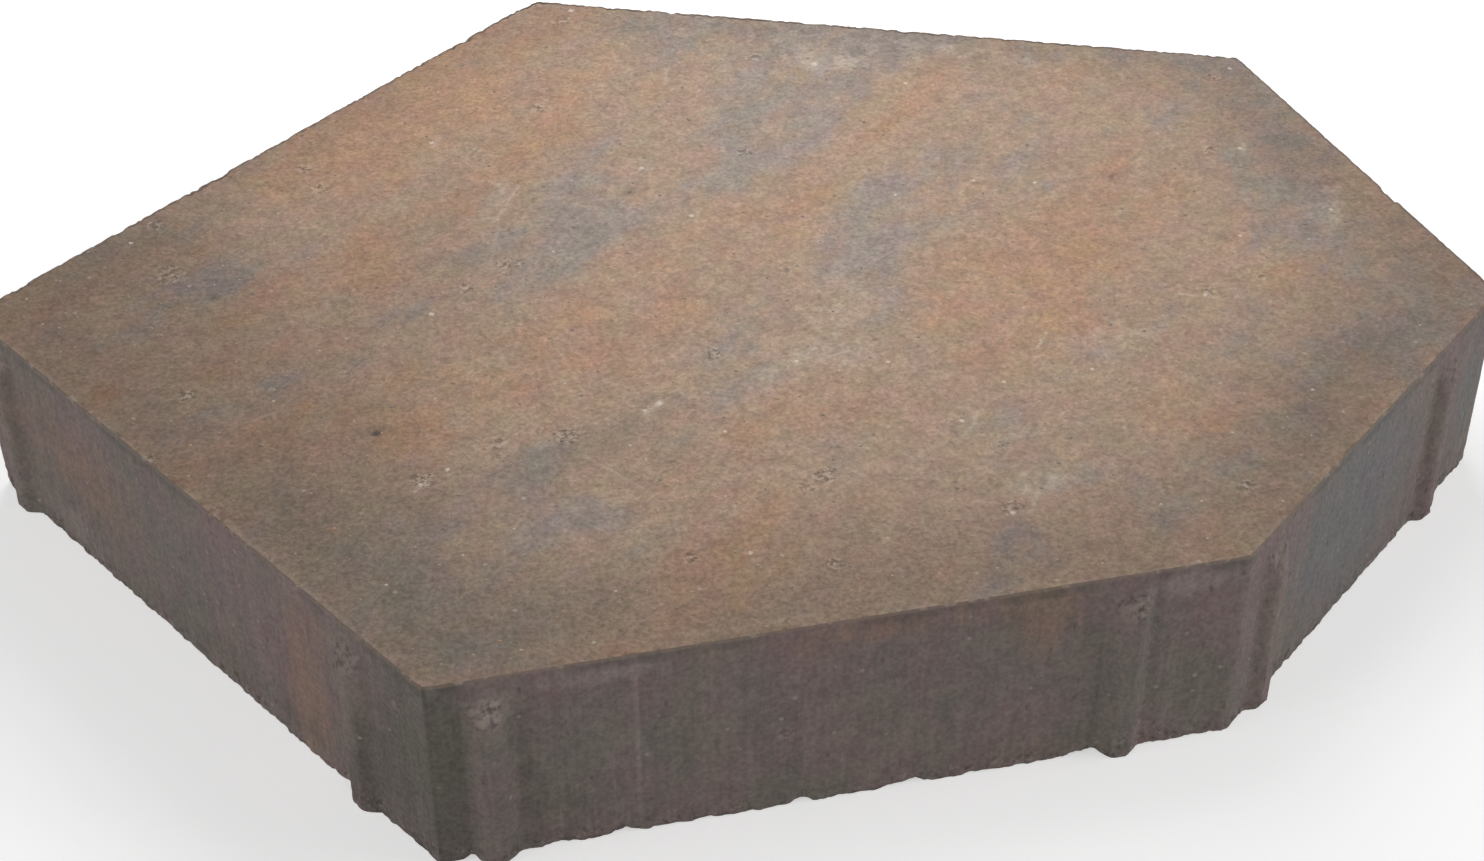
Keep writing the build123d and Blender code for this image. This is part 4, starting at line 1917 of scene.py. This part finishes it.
@dataclass(frozen=True)
class Studio:
    """Floor, daylight and lamps.

    Attributes:
        floor_size: Side of the square floor.
        daylight: Strength of the even light from all round.
        lamps: The soft lamps.
    """

    floor_size: float = 12.0
    daylight: float = 0.18
    lamps: tuple[Lamp, ...] = (
        Lamp("window_behind", (0.150, 0.800, 0.600), 0.60, 4.3),
        Lamp("spot_above", (0.085, 0.020, 0.440), 0.25, 0.54),
        Lamp("room_in_front", (-0.30, -2.20, 0.45), 1.40, 12.2),
        Lamp("room_on_the_left", (-2.00, -0.50, 0.40), 1.20, 12.6),
        Lamp("room_on_the_right", (1.90, -0.60, 0.45), 1.20, 14.0),
    )

    def build(self) -> None:
        """Put up the studio."""
        half = self.floor_size / 2
        mesh = bpy.data.meshes.new("studio_floor")
        square = [(-half, -half, 0), (half, -half, 0), (half, half, 0), (-half, half, 0)]
        mesh.from_pydata(square, [], [(0, 1, 2, 3)])
        mesh.materials.append(FloorFinish().material())
        floor = bpy.data.objects.new("studio_floor", mesh)
        bpy.context.scene.collection.objects.link(floor)

        world = bpy.data.worlds.new("daylight")
        world.use_nodes = True
        bpy.context.scene.world = world
        graph = Graph(world.node_tree)
        direct = seen_directly(graph)
        strength = direct * (1.0 - self.daylight) + self.daylight
        sky = graph.field("ShaderNodeBackground", {"Color": (1.0, 1.0, 1.0, 1.0), "Strength": strength})
        output = graph.node("ShaderNodeOutputWorld")
        graph.tree.links.new(sky.socket, output.inputs["Surface"])
        for lamp in self.lamps:
            lamp.hang()


def apply_tree(piece: bpy.types.Object, tree: bpy.types.NodeTree, sizes: dict[str, float],
               name: str) -> bpy.types.Mesh:
    """Run a geometry tree on a piece and return the result as a plain mesh.

    Args:
        piece: The object that the tree reads.
        tree: The geometry tree.
        sizes: Its inputs by name.
        name: Name of the new mesh.

    Returns:
        The mesh, with nothing left to evaluate. The modifier is gone from the piece.
    """
    modifier = piece.modifiers.new(tree.name, "NODES")
    modifier.node_group = tree
    for item in tree.interface.items_tree:
        if item.in_out == "INPUT" and item.name in sizes:
            modifier[item.identifier] = sizes[item.name]
    depsgraph = bpy.context.evaluated_depsgraph_get()
    depsgraph.update()
    mesh = bpy.data.meshes.new_from_object(piece.evaluated_get(depsgraph), depsgraph=depsgraph)
    mesh.name = name
    piece.modifiers.remove(modifier)
    return mesh


@dataclass
class PavingSlab:
    """The slab: its block with the relief pressed in, and the grit in its face."""

    block: CastBlock = field(default_factory=CastBlock)
    relief: Relief = field(default_factory=Relief)
    grit: Grit = field(default_factory=Grit)
    crease: float = 50.0

    def build(self, solid: bpy.types.Object) -> list[bpy.types.Object]:
        """Make every visible piece of the slab.

        Args:
            solid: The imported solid.

        Returns:
            The pieces, finished and riding on the slab's body.
        """
        raw = self.block.build(solid)
        materials = [finish.material() for finish in (FaceFinish(), SideFinish(), UndersideFinish())]
        mesh = apply_tree(raw, self.relief.tree(materials), self.relief.sizes(), "slab")
        mesh.set_sharp_from_angle(angle=math.radians(self.crease))
        slab = self._piece("slab", mesh)
        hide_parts(NODE)
        bpy.data.objects.remove(raw)

        grains = apply_tree(slab, self.grit.tree(GritFinish().material()), self.grit.sizes(), "face_grit")
        grit = self._piece("face_grit", grains)
        for piece in (slab, grit):
            triangles = sum(len(face.vertices) - 2 for face in piece.data.polygons)
            LOG.info("%s: %d triangles", piece.name, triangles)
        return [slab, grit]

    def _piece(self, name: str, mesh: bpy.types.Mesh) -> bpy.types.Object:
        """Put a finished mesh into the scene as a piece of the slab.

        Args:
            name: The piece's name.
            mesh: Its mesh.

        Returns:
            The piece.
        """
        piece = bpy.data.objects.new(name, mesh)
        bpy.context.scene.collection.objects.link(piece)
        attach(piece, BODY)
        return piece


def main() -> None:
    """Build the slab on its floor, with the light and the camera."""
    logging.basicConfig(level=logging.INFO, format="%(name)s: %(message)s")
    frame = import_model()
    scene = bpy.context.scene
    scene.view_settings.view_transform = "Standard"
    Viewpoint().camera()
    Studio().build()
    PavingSlab().build(frame["nodes"][NODE])


if __name__ == "__main__":
    main()
